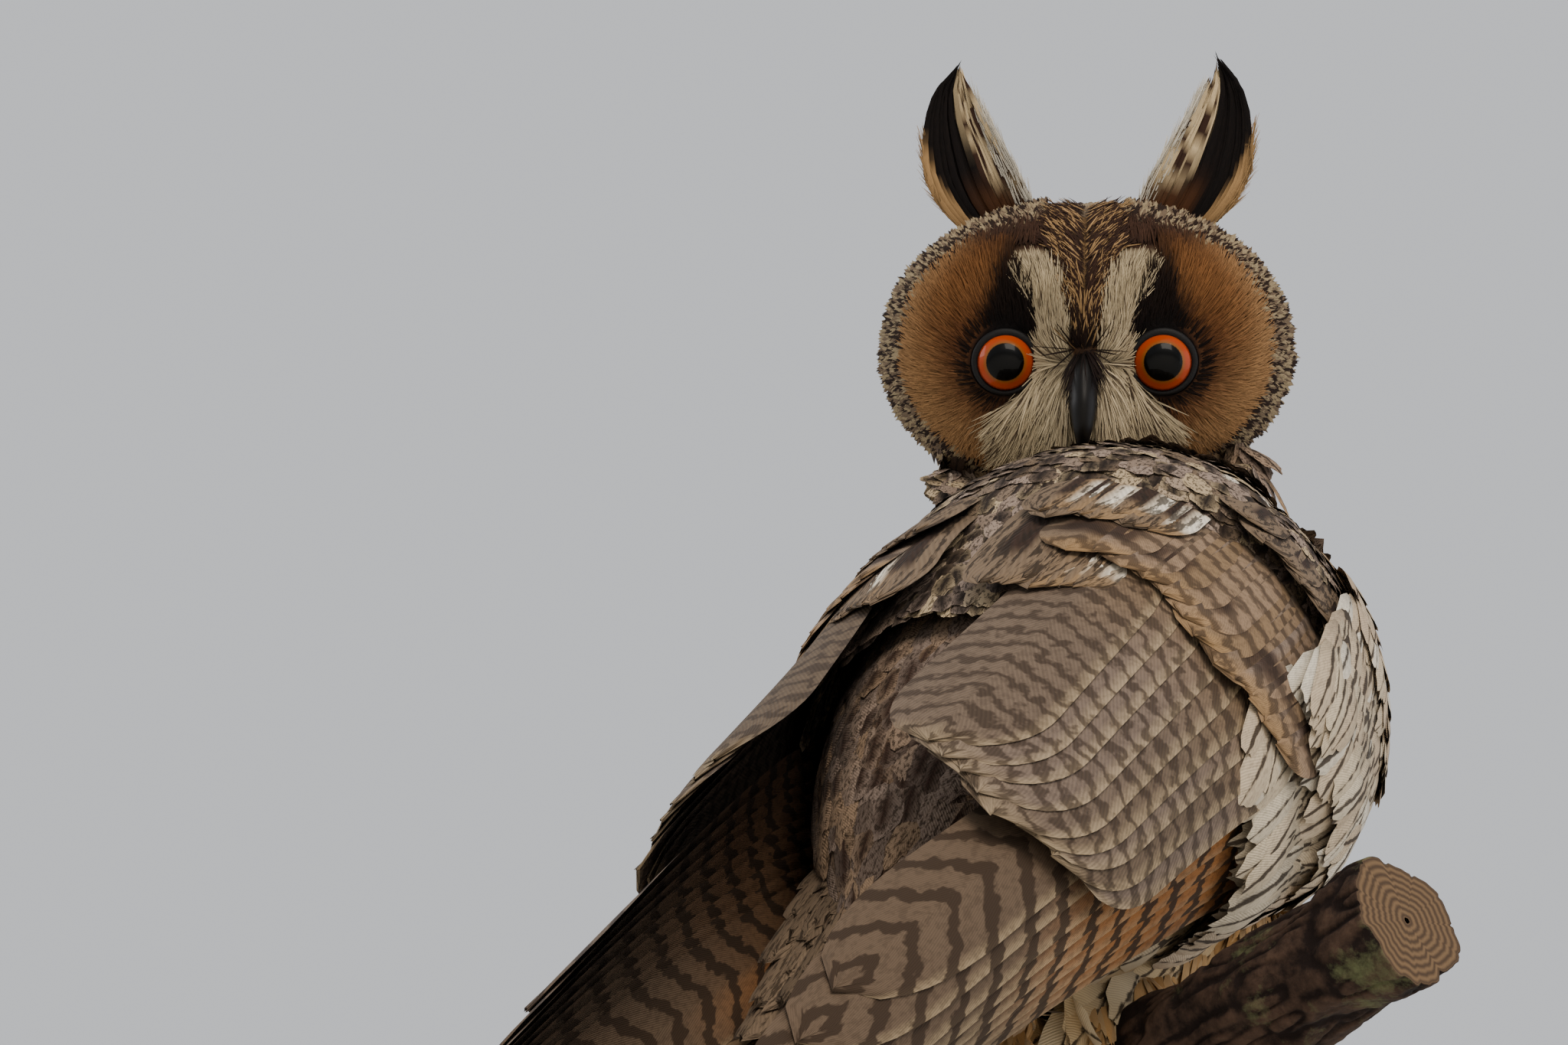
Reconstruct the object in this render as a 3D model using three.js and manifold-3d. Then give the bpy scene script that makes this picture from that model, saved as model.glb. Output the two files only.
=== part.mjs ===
// Long-eared owl on a cut length of branch, held by a plain display stand.
// Millimetres, +Z up. The breast faces -Y, the bird's right side is -X,
// and the origin is the middle of the underside of the stand's base.
import * as THREE from 'three';
import { mergeVertices } from 'three/addons/utils/BufferGeometryUtils.js';
import Module from 'manifold-3d';

const wasm = await Module();
wasm.setup();

const gap = 0.3;
const surfaceTolerance = 0.04;
const cornerNearness = 0.001;
const degree = Math.PI / 180;

// Posture
const bodyTilt = 42 * degree;
const headTurn = 158 * degree;
const headDip = 33 * degree;
const perchTop = 120;
const bodyHeight = 69;
const headOffset = [5, -18, 113];

// Stand
const baseRadius = 82;
const baseThickness = 12;
const baseChamfer = 2;
const rodRadius = 3.5;
const rodSpread = 46;

// Perch
const perchRadius = 12;
const perchLength = 184;
const perchSlope = 13 * degree;
const perchTurn = 30 * degree;
const barkRelief = 0.7;

// Torso
const torsoFront = 92;
const torsoRear = 112;
const torsoHalfWidth = 46;
const backHeight = 47;
const bellyHeight = 50;

// Head
const headHalfWidth = 47.5;
const crownHeight = 33;
const chinHeight = 37;
const faceDepth = 30;
const napeDepth = 42;
const eyeSpacing = 36;
const eyeDrop = 5.9;
const eyeRadius = 9;
const eyeFront = 3.4;

// Feathers
const vaneThickness = 0.55;
const tailLength = 134;
const wingTip = -213;
const armRear = 14;
const wingTipHalf = 19;
const wingTipDepth = 8;
const wingTipRise = 20;

// Directions of the body: toward the head, toward the back, and to the bird's right
const forward = new THREE.Vector3(0, -Math.cos(bodyTilt), Math.sin(bodyTilt));
const dorsal = new THREE.Vector3(0, Math.sin(bodyTilt), Math.cos(bodyTilt));
const bodyCentre = new THREE.Vector3(0, 0, perchTop + bodyHeight);

// Directions of the head: to the owl's left, over the crown, and out of the face
const faceOut = new THREE.Vector3(
  -Math.sin(headTurn) * Math.cos(headDip),
  -Math.cos(headTurn) * Math.cos(headDip),
  -Math.sin(headDip)
);
const faceLeft = new THREE.Vector3(Math.cos(headTurn), -Math.sin(headTurn), 0);
const faceUp = new THREE.Vector3().crossVectors(faceOut, faceLeft);
const headCentre = bodyCentre.clone().add(new THREE.Vector3(...headOffset));

const feather = { roughness: 0.85, metalness: 0 };
const materials = {
  tawny: new THREE.MeshStandardMaterial({ color: 0x8c6a46, ...feather }),
  mottled: new THREE.MeshStandardMaterial({ color: 0x6f6152, ...feather }),
  streaked: new THREE.MeshStandardMaterial({ color: 0xc9b48e, ...feather }),
  barred: new THREE.MeshStandardMaterial({ color: 0x7d6a52, ...feather }),
  darkQuill: new THREE.MeshStandardMaterial({ color: 0x3a2c22, ...feather }),
  buff: new THREE.MeshStandardMaterial({ color: 0xb99a6b, ...feather }),
  iris: new THREE.MeshStandardMaterial({ color: 0xc8501a, roughness: 0.1, metalness: 0 }),
  horn: new THREE.MeshStandardMaterial({ color: 0x1d1a19, roughness: 0.35, metalness: 0 }),
  bark: new THREE.MeshStandardMaterial({ color: 0x3f3229, roughness: 0.95, metalness: 0 }),
  steel: new THREE.MeshStandardMaterial({ color: 0x8a8c8e, roughness: 0.35, metalness: 1 }),
  wood: new THREE.MeshStandardMaterial({ color: 0x5a4030, roughness: 0.5, metalness: 0 })
};

const group = new THREE.Group();

// A solid from points and triangles, turned so that its faces point out
function solidFrom(positions, indices) {
  let volume = 0;
  const corner = (index) => new THREE.Vector3().fromArray(positions, 3 * index);
  for (let i = 0; i < indices.length; i += 3) {
    const [a, b, c] = [0, 1, 2].map((k) => corner(indices[i + k]));
    volume += a.dot(b.cross(c));
  }
  if (volume < 0) {
    indices.reverse();
  }
  return new wasm.Manifold(new wasm.Mesh({
    numProp: 3,
    vertProperties: new Float32Array(positions),
    triVerts: new Uint32Array(indices)
  }));
}

function solidFromGeometry(geometry, nearness = 1e-4) {
  geometry.deleteAttribute('normal');
  geometry.deleteAttribute('uv');
  const merged = mergeVertices(geometry, nearness);
  return solidFrom(Array.from(merged.attributes.position.array), Array.from(merged.index.array));
}

function geometryOf(solid) {
  const { vertProperties, triVerts } = solid.getMesh();
  const geometry = new THREE.BufferGeometry();
  geometry.setAttribute('position', new THREE.BufferAttribute(vertProperties, 3));
  geometry.setIndex(new THREE.BufferAttribute(triVerts, 1));
  return geometry;
}

// A body through rings of points, closed by a fan at each end
function loft(rings) {
  const sides = rings[0].length;
  const positions = rings.flat().flatMap((point) => point.toArray());
  const indices = [];
  for (let i = 0; i < rings.length - 1; i++) {
    for (let j = 0; j < sides; j++) {
      const a = i * sides + j;
      const b = i * sides + (j + 1) % sides;
      indices.push(a, b, b + sides, a, b + sides, a + sides);
    }
  }
  [0, rings.length - 1].forEach((i, end) => {
    const middle = rings[i].reduce((sum, point) => sum.add(point), new THREE.Vector3());
    middle.divideScalar(sides);
    const m = positions.length / 3;
    positions.push(...middle.toArray());
    for (let j = 0; j < sides; j++) {
      const a = i * sides + j;
      const b = i * sides + (j + 1) % sides;
      indices.push(...(end ? [a, b, m] : [b, a, m]));
    }
  });
  return solidFrom(positions, indices);
}

// A thin plate. place(u, v, w) gives its points: u runs root to tip, v runs -1 to 1 across,
// w is 0 below and 1 above. Both faces are split alike, so they never cross.
function plate(place, rows, columns) {
  const positions = [];
  const index = (i, k, w) => (i * columns.length + k) * 2 + w;
  rows.forEach((u) => columns.forEach((v) => {
    positions.push(...place(u, v, 0).toArray(), ...place(u, v, 1).toArray());
  }));
  const indices = [];
  const quad = (a, b, c, d) => indices.push(a, b, c, a, c, d);
  const lastRow = rows.length - 1;
  const lastColumn = columns.length - 1;
  for (let i = 0; i < lastRow; i++) {
    for (let k = 0; k < lastColumn; k++) {
      quad(index(i, k, 1), index(i, k + 1, 1), index(i + 1, k + 1, 1), index(i + 1, k, 1));
      indices.push(index(i, k, 0), index(i + 1, k + 1, 0), index(i, k + 1, 0));
      indices.push(index(i, k, 0), index(i + 1, k, 0), index(i + 1, k + 1, 0));
    }
    quad(index(i, 0, 1), index(i + 1, 0, 1), index(i + 1, 0, 0), index(i, 0, 0));
    quad(index(i, lastColumn, 1), index(i, lastColumn, 0),
      index(i + 1, lastColumn, 0), index(i + 1, lastColumn, 1));
  }
  for (let k = 0; k < lastColumn; k++) {
    quad(index(0, k, 0), index(0, k + 1, 0), index(0, k + 1, 1), index(0, k, 1));
    quad(index(lastRow, k, 0), index(lastRow, k, 1),
      index(lastRow, k + 1, 1), index(lastRow, k + 1, 0));
  }
  return solidFrom(positions, indices);
}

function ellipsoid(centre, axes, radii, across = 16, down = 10) {
  const geometry = new THREE.SphereGeometry(1, across, down);
  const matrix = new THREE.Matrix4().makeBasis(
    axes[0].clone().multiplyScalar(radii[0]),
    axes[1].clone().multiplyScalar(radii[1]),
    axes[2].clone().multiplyScalar(radii[2])
  ).setPosition(centre);
  geometry.applyMatrix4(matrix);
  return solidFromGeometry(geometry);
}

function joined(solids) {
  return solids.reduce((sum, solid) => sum.add(solid));
}

function cutBy(solid, ...cutters) {
  return cutters.reduce((rest, cutter) => rest.subtract(cutter), solid);
}

function largestSurface(solid) {
  return solid.decompose().sort((a, b) => b.volume() - a.volume())[0];
}

// Only the largest closed surface of a solid, as a named mesh of the group. Corners that
// nearly touch are merged first, so that no pocket between two feathers is left inside.
function addNode(name, solid, material) {
  const outer = largestSurface(solid).simplify(surfaceTolerance);
  const merged = solidFromGeometry(geometryOf(outer), cornerNearness);
  const geometry = geometryOf(largestSurface(merged)).toNonIndexed();
  geometry.computeVertexNormals();
  const mesh = new THREE.Mesh(geometry, material.clone());
  mesh.name = name;
  group.add(mesh);
}

// Display stand

function addStand() {
  const profile = [
    [0, 0],
    [baseRadius - baseChamfer, 0],
    [baseRadius, baseChamfer],
    [baseRadius, baseThickness - baseChamfer],
    [baseRadius - baseChamfer, baseThickness],
    [0, baseThickness]
  ].map(([x, y]) => new THREE.Vector2(x, y));
  const base = new THREE.LatheGeometry(profile, 36);
  base.rotateX(Math.PI / 2);
  addNode('stand_base', solidFromGeometry(base), materials.wood);

  for (const [name, t] of [['stand_rod_right', rodSpread], ['stand_rod_left', -rodSpread]]) {
    const top = perchCentre(t);
    const height = top.z - baseThickness - gap;
    const rod = new THREE.CylinderGeometry(rodRadius, rodRadius, height, 14);
    rod.rotateX(Math.PI / 2);
    rod.translate(top.x, top.y, baseThickness + gap + height / 2);
    addNode(name, cutBy(solidFromGeometry(rod), perchSolid(gap)), materials.steel);
  }
}

// Perch: t runs along it, the angle turns from its top toward the bird's front

const perchAxis = new THREE.Vector3(
  -Math.cos(perchTurn) * Math.cos(perchSlope),
  Math.sin(perchTurn) * Math.cos(perchSlope),
  Math.sin(perchSlope)
);
const perchUp = new THREE.Vector3(0, 0, 1).addScaledVector(perchAxis, -perchAxis.z).normalize();
const perchFore = new THREE.Vector3().crossVectors(perchUp, perchAxis);

function perchCentre(t) {
  const bend = 3 * Math.sin((t / perchLength) * Math.PI * 1.3) - 2;
  return new THREE.Vector3(0, 0, perchTop - perchRadius + 2)
    .addScaledVector(perchAxis, t)
    .addScaledVector(perchUp, bend);
}

function perchRadiusAt(t, angle) {
  const taper = 1 - 0.12 * (t / perchLength + 0.5) + 0.04 * Math.cos(t * 0.21);
  const bark = Math.sin(3 * angle + t * 0.11) + 0.7 * Math.sin(5 * angle - t * 0.23);
  return perchRadius * taper + barkRelief * bark;
}

function perchPoint(t, angle, lift) {
  const reach = perchRadiusAt(t, angle) + lift;
  return perchCentre(t)
    .addScaledVector(perchUp, Math.cos(angle) * reach)
    .addScaledVector(perchFore, Math.sin(angle) * reach);
}

function perchSolid(grow) {
  const sides = 14;
  const steps = 18;
  const rings = [];
  for (let i = 0; i <= steps; i++) {
    const t = (i / steps - 0.5) * (perchLength + 2 * grow);
    const ring = [];
    for (let j = 0; j < sides; j++) {
      ring.push(perchPoint(t, (j / sides) * 2 * Math.PI, grow));
    }
    rings.push(ring);
  }
  return loft(rings);
}

// A round limb through centres with radii, its sections square to its run
function limb(centres, radii, sides) {
  const rings = centres.map((centre, i) => {
    const run = centres[Math.min(i + 1, centres.length - 1)].clone()
      .sub(centres[Math.max(i - 1, 0)]).normalize();
    const over = new THREE.Vector3().crossVectors(run, perchAxis).normalize();
    const beside = new THREE.Vector3().crossVectors(over, run);
    const [half, height] = [radii[i]].flat().length > 1 ? radii[i] : [radii[i], radii[i]];
    return Array.from({ length: sides }, (_, j) => {
      const angle = (j / sides) * 2 * Math.PI;
      return centre.clone()
        .addScaledVector(beside, Math.cos(angle) * half)
        .addScaledVector(over, Math.sin(angle) * height);
    });
  });
  return loft(rings);
}

// Torso: s runs along it toward the head, the angle turns from its side to its back

function torsoSection(s) {
  const front = (1 - Math.abs(s / torsoFront) ** 2.6) ** 0.5;
  const rear = (1 - Math.abs(s / torsoRear) ** 1.9) ** 0.85;
  const fullness = s > 0 ? front : rear;
  return {
    half: torsoHalfWidth * fullness,
    back: backHeight * fullness,
    belly: bellyHeight * fullness,
    rise: 8 * Math.max(0, -s / torsoRear) ** 1.5
  };
}

// Wings follow the torso and then narrow to a flat blade over the tail
function wingSection(s) {
  const leave = -30;
  if (s > leave) {
    return torsoSection(s);
  }
  const from = torsoSection(leave);
  const run = Math.min(1, (leave - s) / (leave - wingTip));
  const narrowing = run ** 0.8;
  return {
    half: from.half + (wingTipHalf - from.half) * narrowing,
    back: from.back + (wingTipDepth - from.back) * narrowing,
    belly: from.belly + (wingTipDepth - from.belly) * narrowing,
    rise: from.rise + (wingTipRise - from.rise) * narrowing
  };
}

// side is 1 on the bird's right and -1 on its left
function bodyPoint(section, side, s, angle, lift) {
  const { half, back, belly, rise } = section(s);
  const height = Math.sin(angle) > 0 ? back : belly;
  const outward = new THREE.Vector2(Math.cos(angle) / half, Math.sin(angle) / height).normalize();
  const across = Math.cos(angle) * half + outward.x * lift;
  const over = Math.sin(angle) * height + outward.y * lift + rise;
  return bodyCentre.clone()
    .addScaledVector(forward, s)
    .add(new THREE.Vector3(-side * across, 0, 0))
    .addScaledVector(dorsal, over);
}

function torsoSolid(grow) {
  const sides = 28;
  const steps = 18;
  const rings = [];
  for (let i = 0; i <= steps; i++) {
    const run = -Math.cos((i / steps) * Math.PI);
    const s = run > 0 ? run * (torsoFront - 1) : run * (torsoRear - 6);
    const ring = [];
    for (let j = 0; j < sides; j++) {
      ring.push(bodyPoint(torsoSection, 1, s, (j / sides) * 2 * Math.PI, grow));
    }
    rings.push(ring);
  }
  return loft(rings);
}

// Neck: from deep in the torso up into the head

function neckSolid(grow) {
  const foot = bodyCentre.clone().addScaledVector(forward, 40).addScaledVector(dorsal, 8);
  const stations = [0, 0.25, 0.5, 0.75, 1];
  const widths = [36, 40, 41, 37, 25];
  const nape = headPlace(0, -4, -16);
  const rings = stations.map((t, i) => {
    const middle = foot.clone().lerp(nape, t);
    return Array.from({ length: 20 }, (_, j) => {
      const angle = (j / 20) * 2 * Math.PI;
      return middle.clone().add(new THREE.Vector3(
        Math.cos(angle) * (widths[i] + grow), Math.sin(angle) * (widths[i] * 0.92 + grow), 0));
    });
  });
  return loft(rings);
}

// Head, in its own frame: x to the owl's left, y over the crown, z out of the face

function headPlace(x, y, z) {
  return headCentre.clone()
    .addScaledVector(faceLeft, x)
    .addScaledVector(faceUp, y)
    .addScaledVector(faceOut, z);
}

const bump = (value, width) => Math.exp(-((value / width) ** 2));

// How far the head reaches in a direction given in its own frame
function headReach(direction) {
  const { x, y, z } = direction;
  const height = y > 0 ? crownHeight : chinHeight;
  const depth = z > 0 ? faceDepth : napeDepth;
  const power = 2.3;
  const sum = Math.abs(x / headHalfWidth) ** power
    + Math.abs(y / height) ** power
    + Math.abs(z / depth) ** power;
  const reach = sum ** (-1 / power);
  if (z < 0) {
    return reach;
  }
  const [across, over] = [Math.abs(x) * reach, y * reach];
  const fromLobe = Math.hypot(across - 20, (over + 3) * 1.05);
  const bowl = -4.5 * bump(fromLobe, 15);
  const rim = 1.6 * bump(fromLobe - 25, 4) * z;
  const ridge = 4.5 * bump(across, 6.5) * bump(over + 2, 17);
  const brow = 2.5 * bump(across - 9 - Math.max(0, over) * 0.28, 5) * bump(over - 12, 12);
  return reach + (bowl + rim + ridge + brow) * z;
}

function headSolid(grow) {
  const steps = 20;
  const sides = 32;
  const rings = [];
  for (let i = 1; i < steps; i++) {
    const fromFront = Math.PI * (i / steps) ** 1.15;
    const ring = [];
    for (let j = 0; j < sides; j++) {
      const turn = (j / sides) * 2 * Math.PI;
      const direction = new THREE.Vector3(
        Math.sin(fromFront) * Math.cos(turn),
        Math.sin(fromFront) * Math.sin(turn),
        Math.cos(fromFront)
      );
      const reach = headReach(direction) + grow;
      ring.push(headPlace(direction.x * reach, direction.y * reach, direction.z * reach));
    }
    rings.push(ring);
  }
  return loft(rings);
}

// Depth of the face surface behind a point of the face
function faceSurface(x, y) {
  let z = faceDepth;
  for (let i = 0; i < 12; i++) {
    const point = new THREE.Vector3(x, y, z);
    const length = point.length();
    z *= headReach(point.divideScalar(length)) / length;
  }
  return z;
}

function eyeCentre(side) {
  const x = -side * eyeSpacing / 2;
  return [x, -eyeDrop, faceSurface(x, -eyeDrop) + eyeFront - eyeRadius];
}

function eyeSolid(side, grow) {
  const radius = eyeRadius + grow;
  return ellipsoid(headPlace(...eyeCentre(side)), [faceLeft, faceOut, faceUp],
    [radius, radius, radius], 14, 10);
}

// A lid ring stands round each eye, its upper half lower over the ball
function lidSolid(side) {
  const [x, y, z] = eyeCentre(side);
  const lid = new THREE.TorusGeometry(7.6, 1.5, 5, 14);
  const matrix = new THREE.Matrix4().makeBasis(faceLeft, faceUp, faceOut)
    .setPosition(headPlace(x, y, z + 5.3));
  lid.applyMatrix4(matrix);
  return solidFromGeometry(lid);
}

function billSolid(upper, grow) {
  const course = upper
    ? [[-4, -6, 3.4], [-10, 1, 4.6], [-16, 4.5, 4.2], [-21, 5.5, 3], [-26.5, 3.5, 0.7]]
    : [[-17, -6, 3.2], [-19.5, -1, 3.2], [-22, 2.6, 2.3], [-24, 4.6, 0.8]];
  const faceAt = faceSurface(0, -12);
  const rings = course.map(([y, out, radius], i) => {
    const next = course[Math.min(i + 1, course.length - 1)];
    const last = course[Math.max(i - 1, 0)];
    const run = new THREE.Vector2(next[0] - last[0], next[1] - last[1]).normalize();
    return Array.from({ length: 10 }, (_, j) => {
      const angle = (j / 10) * 2 * Math.PI;
      const side = Math.cos(angle) * (radius * 0.85 + grow);
      const over = Math.sin(angle) * (radius + grow);
      return headPlace(side, y - run.y * over, faceAt + out + run.x * over);
    });
  });
  return loft(rings);
}

function addHead() {
  const eyeHoles = [1, -1].map((side) => eyeSolid(side, gap));
  const lids = [1, -1].map((side) => lidSolid(side));
  const head = joined([headSolid(0), ...lids]);
  addNode('head', cutBy(head, ...eyeHoles, billSolid(true, gap), billSolid(false, gap)),
    materials.tawny);
  addNode('eye_right', eyeSolid(1, 0), materials.iris);
  addNode('eye_left', eyeSolid(-1, 0), materials.iris);
  const nostrils = [1, -1].map((side) => ellipsoid(
    headPlace(side * 3.9, -9, faceSurface(0, -12) + 3),
    [faceLeft, faceUp, faceOut], [1.3, 1.6, 1], 8, 6));
  addNode('bill_upper', cutBy(billSolid(true, 0), ...nostrils), materials.horn);
  addNode('bill_lower', cutBy(billSolid(false, 0), billSolid(true, gap)), materials.horn);
  const beforeFace = ellipsoid(headPlace(0, 2, 46), [faceLeft, faceUp, faceOut],
    [50, 33, 33], 14, 8);
  addNode('neck', cutBy(neckSolid(0), headSolid(gap), torsoSolid(gap), beforeFace),
    materials.mottled);
}

// Ear tufts: curved feathers side by side, rooted in a pad on the crown

function tuftSolid(side) {
  const feathers = 6;
  const root = ellipsoid(headPlace(-side * 20.5, 28, 2), [faceLeft, faceUp, faceOut],
    [8.5, 7, 6.5], 10, 6);
  const vanes = Array.from({ length: feathers }, (_, i) => {
    const inward = i / (feathers - 1);
    const length = 36 - 15 * inward - 4 * (i === 0);
    const place = (u, v, w) => {
      const climb = 27 + u * length;
      const bow = 9.5 * Math.sin(Math.min(1, (climb - 24) / 40) * Math.PI * 0.72);
      const fullness = 4.3 * Math.sin(Math.PI * (0.25 + 0.75 * u)) ** 0.7 + 0.35;
      const half = fullness * (0.75 - 0.15 * inward);
      const across = 26.5 - 9.5 * inward * (1 - 0.75 * u) + bow * (1 - 0.35 * inward) - 8 * u * u;
      const depth = 4 - 1.15 * i + 0.18 * v * v - 5 * u;
      return headPlace(-side * (across + v * half), climb, depth + w * vaneThickness);
    };
    return plate(place, [0, 0.3, 0.55, 0.8, 1], [-1, 1]);
  });
  return joined([root, ...vanes]);
}

function addTufts() {
  const head = headSolid(gap);
  addNode('ear_tuft_right', cutBy(tuftSolid(1), head), materials.darkQuill);
  addNode('ear_tuft_left', cutBy(tuftSolid(-1), head), materials.darkQuill);
}

// Feathers on the body, in body places s, angle and lift

const spaced = (count, start = 0, end = 1) => Array.from(
  { length: count }, (_, i) => start + (end - start) * i / (count - 1));

const mix = ([start, end], share) => start + (end - start) * share;

// Width of a vane along its length: narrow at the root, full, and round at the tip
const vaneShape = (u) => Math.min(0.55 + 1.3 * u, 1) * Math.min(1, 0.3 + 1.9 * (1 - u)) ** 0.8;

function bodyVane(section, side, { run, angle, half, lift, slope, rows = 5 }) {
  const place = (u, v, w) => {
    const s = mix(run, u);
    const { half: width, back } = section(s);
    const reach = v * half * vaneShape(u);
    const turn = mix(angle, u) * degree + 2 * reach / (width + back);
    const rise = mix(lift, u) - reach * mix(slope, u) + w * vaneThickness * (1 - 0.25 * u * u);
    return bodyPoint(section, side, s, turn, rise);
  };
  return plate(place, spaced(rows).map((u) => u ** 0.85), [-1, 0, 1]);
}

// A pad of flesh that feathers root in. Its thickness may change with its place.
function rootPad(section, side, { run, low, high, lift, thickness }, rows, columns) {
  const place = (u, v, w) => {
    const angle = mix([low, high], (v + 1) / 2) * degree;
    return bodyPoint(section, side, mix(run, u), angle, lift + w * thickness(u, v));
  };
  return plate(place, spaced(rows), spaced(columns, -1, 1));
}

// Primaries reach to the wing's tip, the outermost along its lower edge
function primaryVanes(side) {
  const tips = [-194, -210, -213, -204, -186, -164];
  return tips.map((tip, i) => bodyVane(wingSection, side, {
    run: [6, tip],
    angle: [-27 + 6.7 * i, -16 + 8.8 * i],
    half: 9,
    lift: [2.1 + 0.3 * i, 2.2 + 0.46 * i],
    slope: [0.15, 0.19],
    rows: 5
  }));
}

// Secondaries and the tertials above them, each lying on the one below it
function secondaryVanes(side) {
  return Array.from({ length: 6 }, (_, i) => bodyVane(wingSection, side, {
    run: [4, -116 + 3.4 * Math.abs(i - 2)],
    angle: [5 + 10 * i, 9 + 9.8 * i],
    half: 11.4,
    lift: [6.6 + 0.1 * i, 7.9 + 0.1 * i],
    slope: [0.09, 0.18],
    rows: 4
  }));
}

function greaterCoverts(side) {
  return Array.from({ length: 7 }, (_, i) => bodyVane(wingSection, side, {
    run: [30, -34 + 1.5 * Math.abs(i - 3)],
    angle: [-25 + 10 * i, -20 + 9.8 * i],
    half: 9,
    lift: [9, 13],
    slope: [0.12, 0.13],
    rows: 3
  }));
}

function medianCoverts(side) {
  return Array.from({ length: 6 }, (_, i) => bodyVane(wingSection, side, {
    run: [54, 6 + 1.2 * Math.abs(i - 3)],
    angle: [-24 + 11 * i, -20 + 10.8 * i],
    half: 9,
    lift: [7.6, 14.8],
    slope: [0.12, 0.13],
    rows: 3
  }));
}

function scapularVanes(side) {
  const tiers = [
    { from: 42, to: -46, rise: 11.4, count: 4 },
    { from: 54, to: 0, rise: 13, count: 3 }
  ];
  return tiers.flatMap(({ from, to, rise, count }) => Array.from({ length: count }, (_, i) => {
    const place = i + (4 - count) / 2;
    return bodyVane(wingSection, side, {
      run: [from, to - 2 * i],
      angle: [58 + 6.2 * place, 60 + 5.8 * place],
      half: 4.4 + count,
      lift: [rise - 2, rise],
      slope: [0.18, 0.18],
      rows: count
    });
  }));
}

function addWing(name, side) {
  const torso = torsoSolid(gap);
  const neck = neckSolid(gap);
  const head = headSolid(gap);
  const arm = rootPad(wingSection, side, {
    run: [77, armRear],
    low: -36,
    high: 50,
    lift: -1,
    thickness: (u, v) => 1.5 + 9.8 * (1 - v ** 8) * Math.sin(Math.PI * (0.12 + 0.66 * u)) ** 0.8
  }, 6, 6);
  const coverts = joined([arm, ...greaterCoverts(side), ...medianCoverts(side)]);
  addNode(`wing_arm_${name}`, cutBy(coverts, torso, neck, head), materials.mottled);

  const behindArm = [armRear - gap, -2];
  const secondaryPad = rootPad(wingSection, side,
    { run: behindArm, low: 0, high: 56, lift: 5.2, thickness: () => 3.1 }, 2, 5);
  addNode(`secondaries_${name}`, joined([secondaryPad, ...secondaryVanes(side)]), materials.barred);

  const primaryPad = rootPad(wingSection, side,
    { run: behindArm, low: -31, high: 12, lift: -1, thickness: () => 5.4 }, 2, 4);
  addNode(`primaries_${name}`, cutBy(joined([primaryPad, ...primaryVanes(side)]), torso),
    materials.darkQuill);

  const scapularPad = rootPad(wingSection, side, {
    run: [64, 24],
    low: 54,
    high: 88,
    lift: -1,
    thickness: (u) => 3 + 9 * Math.sin(Math.PI * (0.1 + 0.62 * u))
  }, 5, 4);
  addNode(`scapulars_${name}`,
    cutBy(joined([scapularPad, ...scapularVanes(side)]), torso, neck, head), materials.mottled);
}

// Tail: twelve feathers, closed, the middle pair on top and each next one lower

const tailDroop = 0.5 * degree;
const tailRun = forward.clone().multiplyScalar(-Math.cos(tailDroop))
  .addScaledVector(dorsal, -Math.sin(tailDroop));
const tailOver = forward.clone().multiplyScalar(-Math.sin(tailDroop))
  .addScaledVector(dorsal, Math.cos(tailDroop));
const tailRoot = bodyCentre.clone().addScaledVector(forward, -92);

function tailPlace(along, across, over) {
  return tailRoot.clone()
    .addScaledVector(tailRun, along)
    .add(new THREE.Vector3(-across, 0, 0))
    .addScaledVector(tailOver, over);
}

function tailFeather(rank, side) {
  const middle = rank === 0;
  const length = tailLength - 0.35 * rank * rank;
  const place = (u, v, w) => {
    const pitch = 1.7 + 2.2 * u;
    const half = (5.4 + 3.2 * u) * vaneShape(u);
    const centre = pitch * (rank + 0.5);
    const across = middle ? centre + v * half : Math.max(0.5, centre + v * half);
    const tilt = middle ? 0 : (1.02 / pitch) * (across - centre);
    const deck = middle ? (side > 0 ? 2.9 : 1.7) : -0.12 * rank;
    return tailPlace(u * length, side * across, deck + tilt + w * vaneThickness);
  };
  return plate(place, spaced(5), [-1, 1]);
}

function addTail() {
  const feathers = [1, -1].flatMap((side) => spaced(6, 0, 5).map((rank) => tailFeather(rank, side)));
  const rump = plate(
    (u, v, w) => tailPlace(-16 + 36 * u, v * (13 - 3 * u * u), (w - 0.5) * (11 - 5 * u)),
    spaced(3), [-1, 1]);
  addNode('tail', cutBy(joined([rump, ...feathers]), torsoSolid(gap)), materials.barred);
}

// Tail coverts: short feathers from the torso that lie over and under the tail's root
function tailCoverts() {
  return [1, -1].flatMap((deck) => spaced(5, -2, 2).map((i) => {
    const place = (u, v, w) => {
      const across = i * (4.4 + 1.6 * u) + v * (5.4 + 1.6 * u) * vaneShape(u);
      const over = deck * (10.2 + 0.5 * Math.abs(i) - 2.8 * u) + 0.16 * v * (5.4 + 1.6 * u);
      return tailPlace(-26 + u * (64 - 3 * Math.abs(i)), across, over + w * vaneThickness);
    };
    return plate(place, spaced(3), [-1, 1]);
  }));
}

// Legs, feet and claws. Two toes reach over the front of the perch and two over the back.

const footSpread = 21;
const toeRadius = 4.3;
const toes = [
  { name: 'inner', offset: -5.6, start: 8, end: 96 },
  { name: 'middle', offset: 5.2, start: 8, end: 104 },
  { name: 'outer', offset: 6.4, start: -8, end: -92 },
  { name: 'hind', offset: -4.8, start: -8, end: -84 }
];

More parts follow.
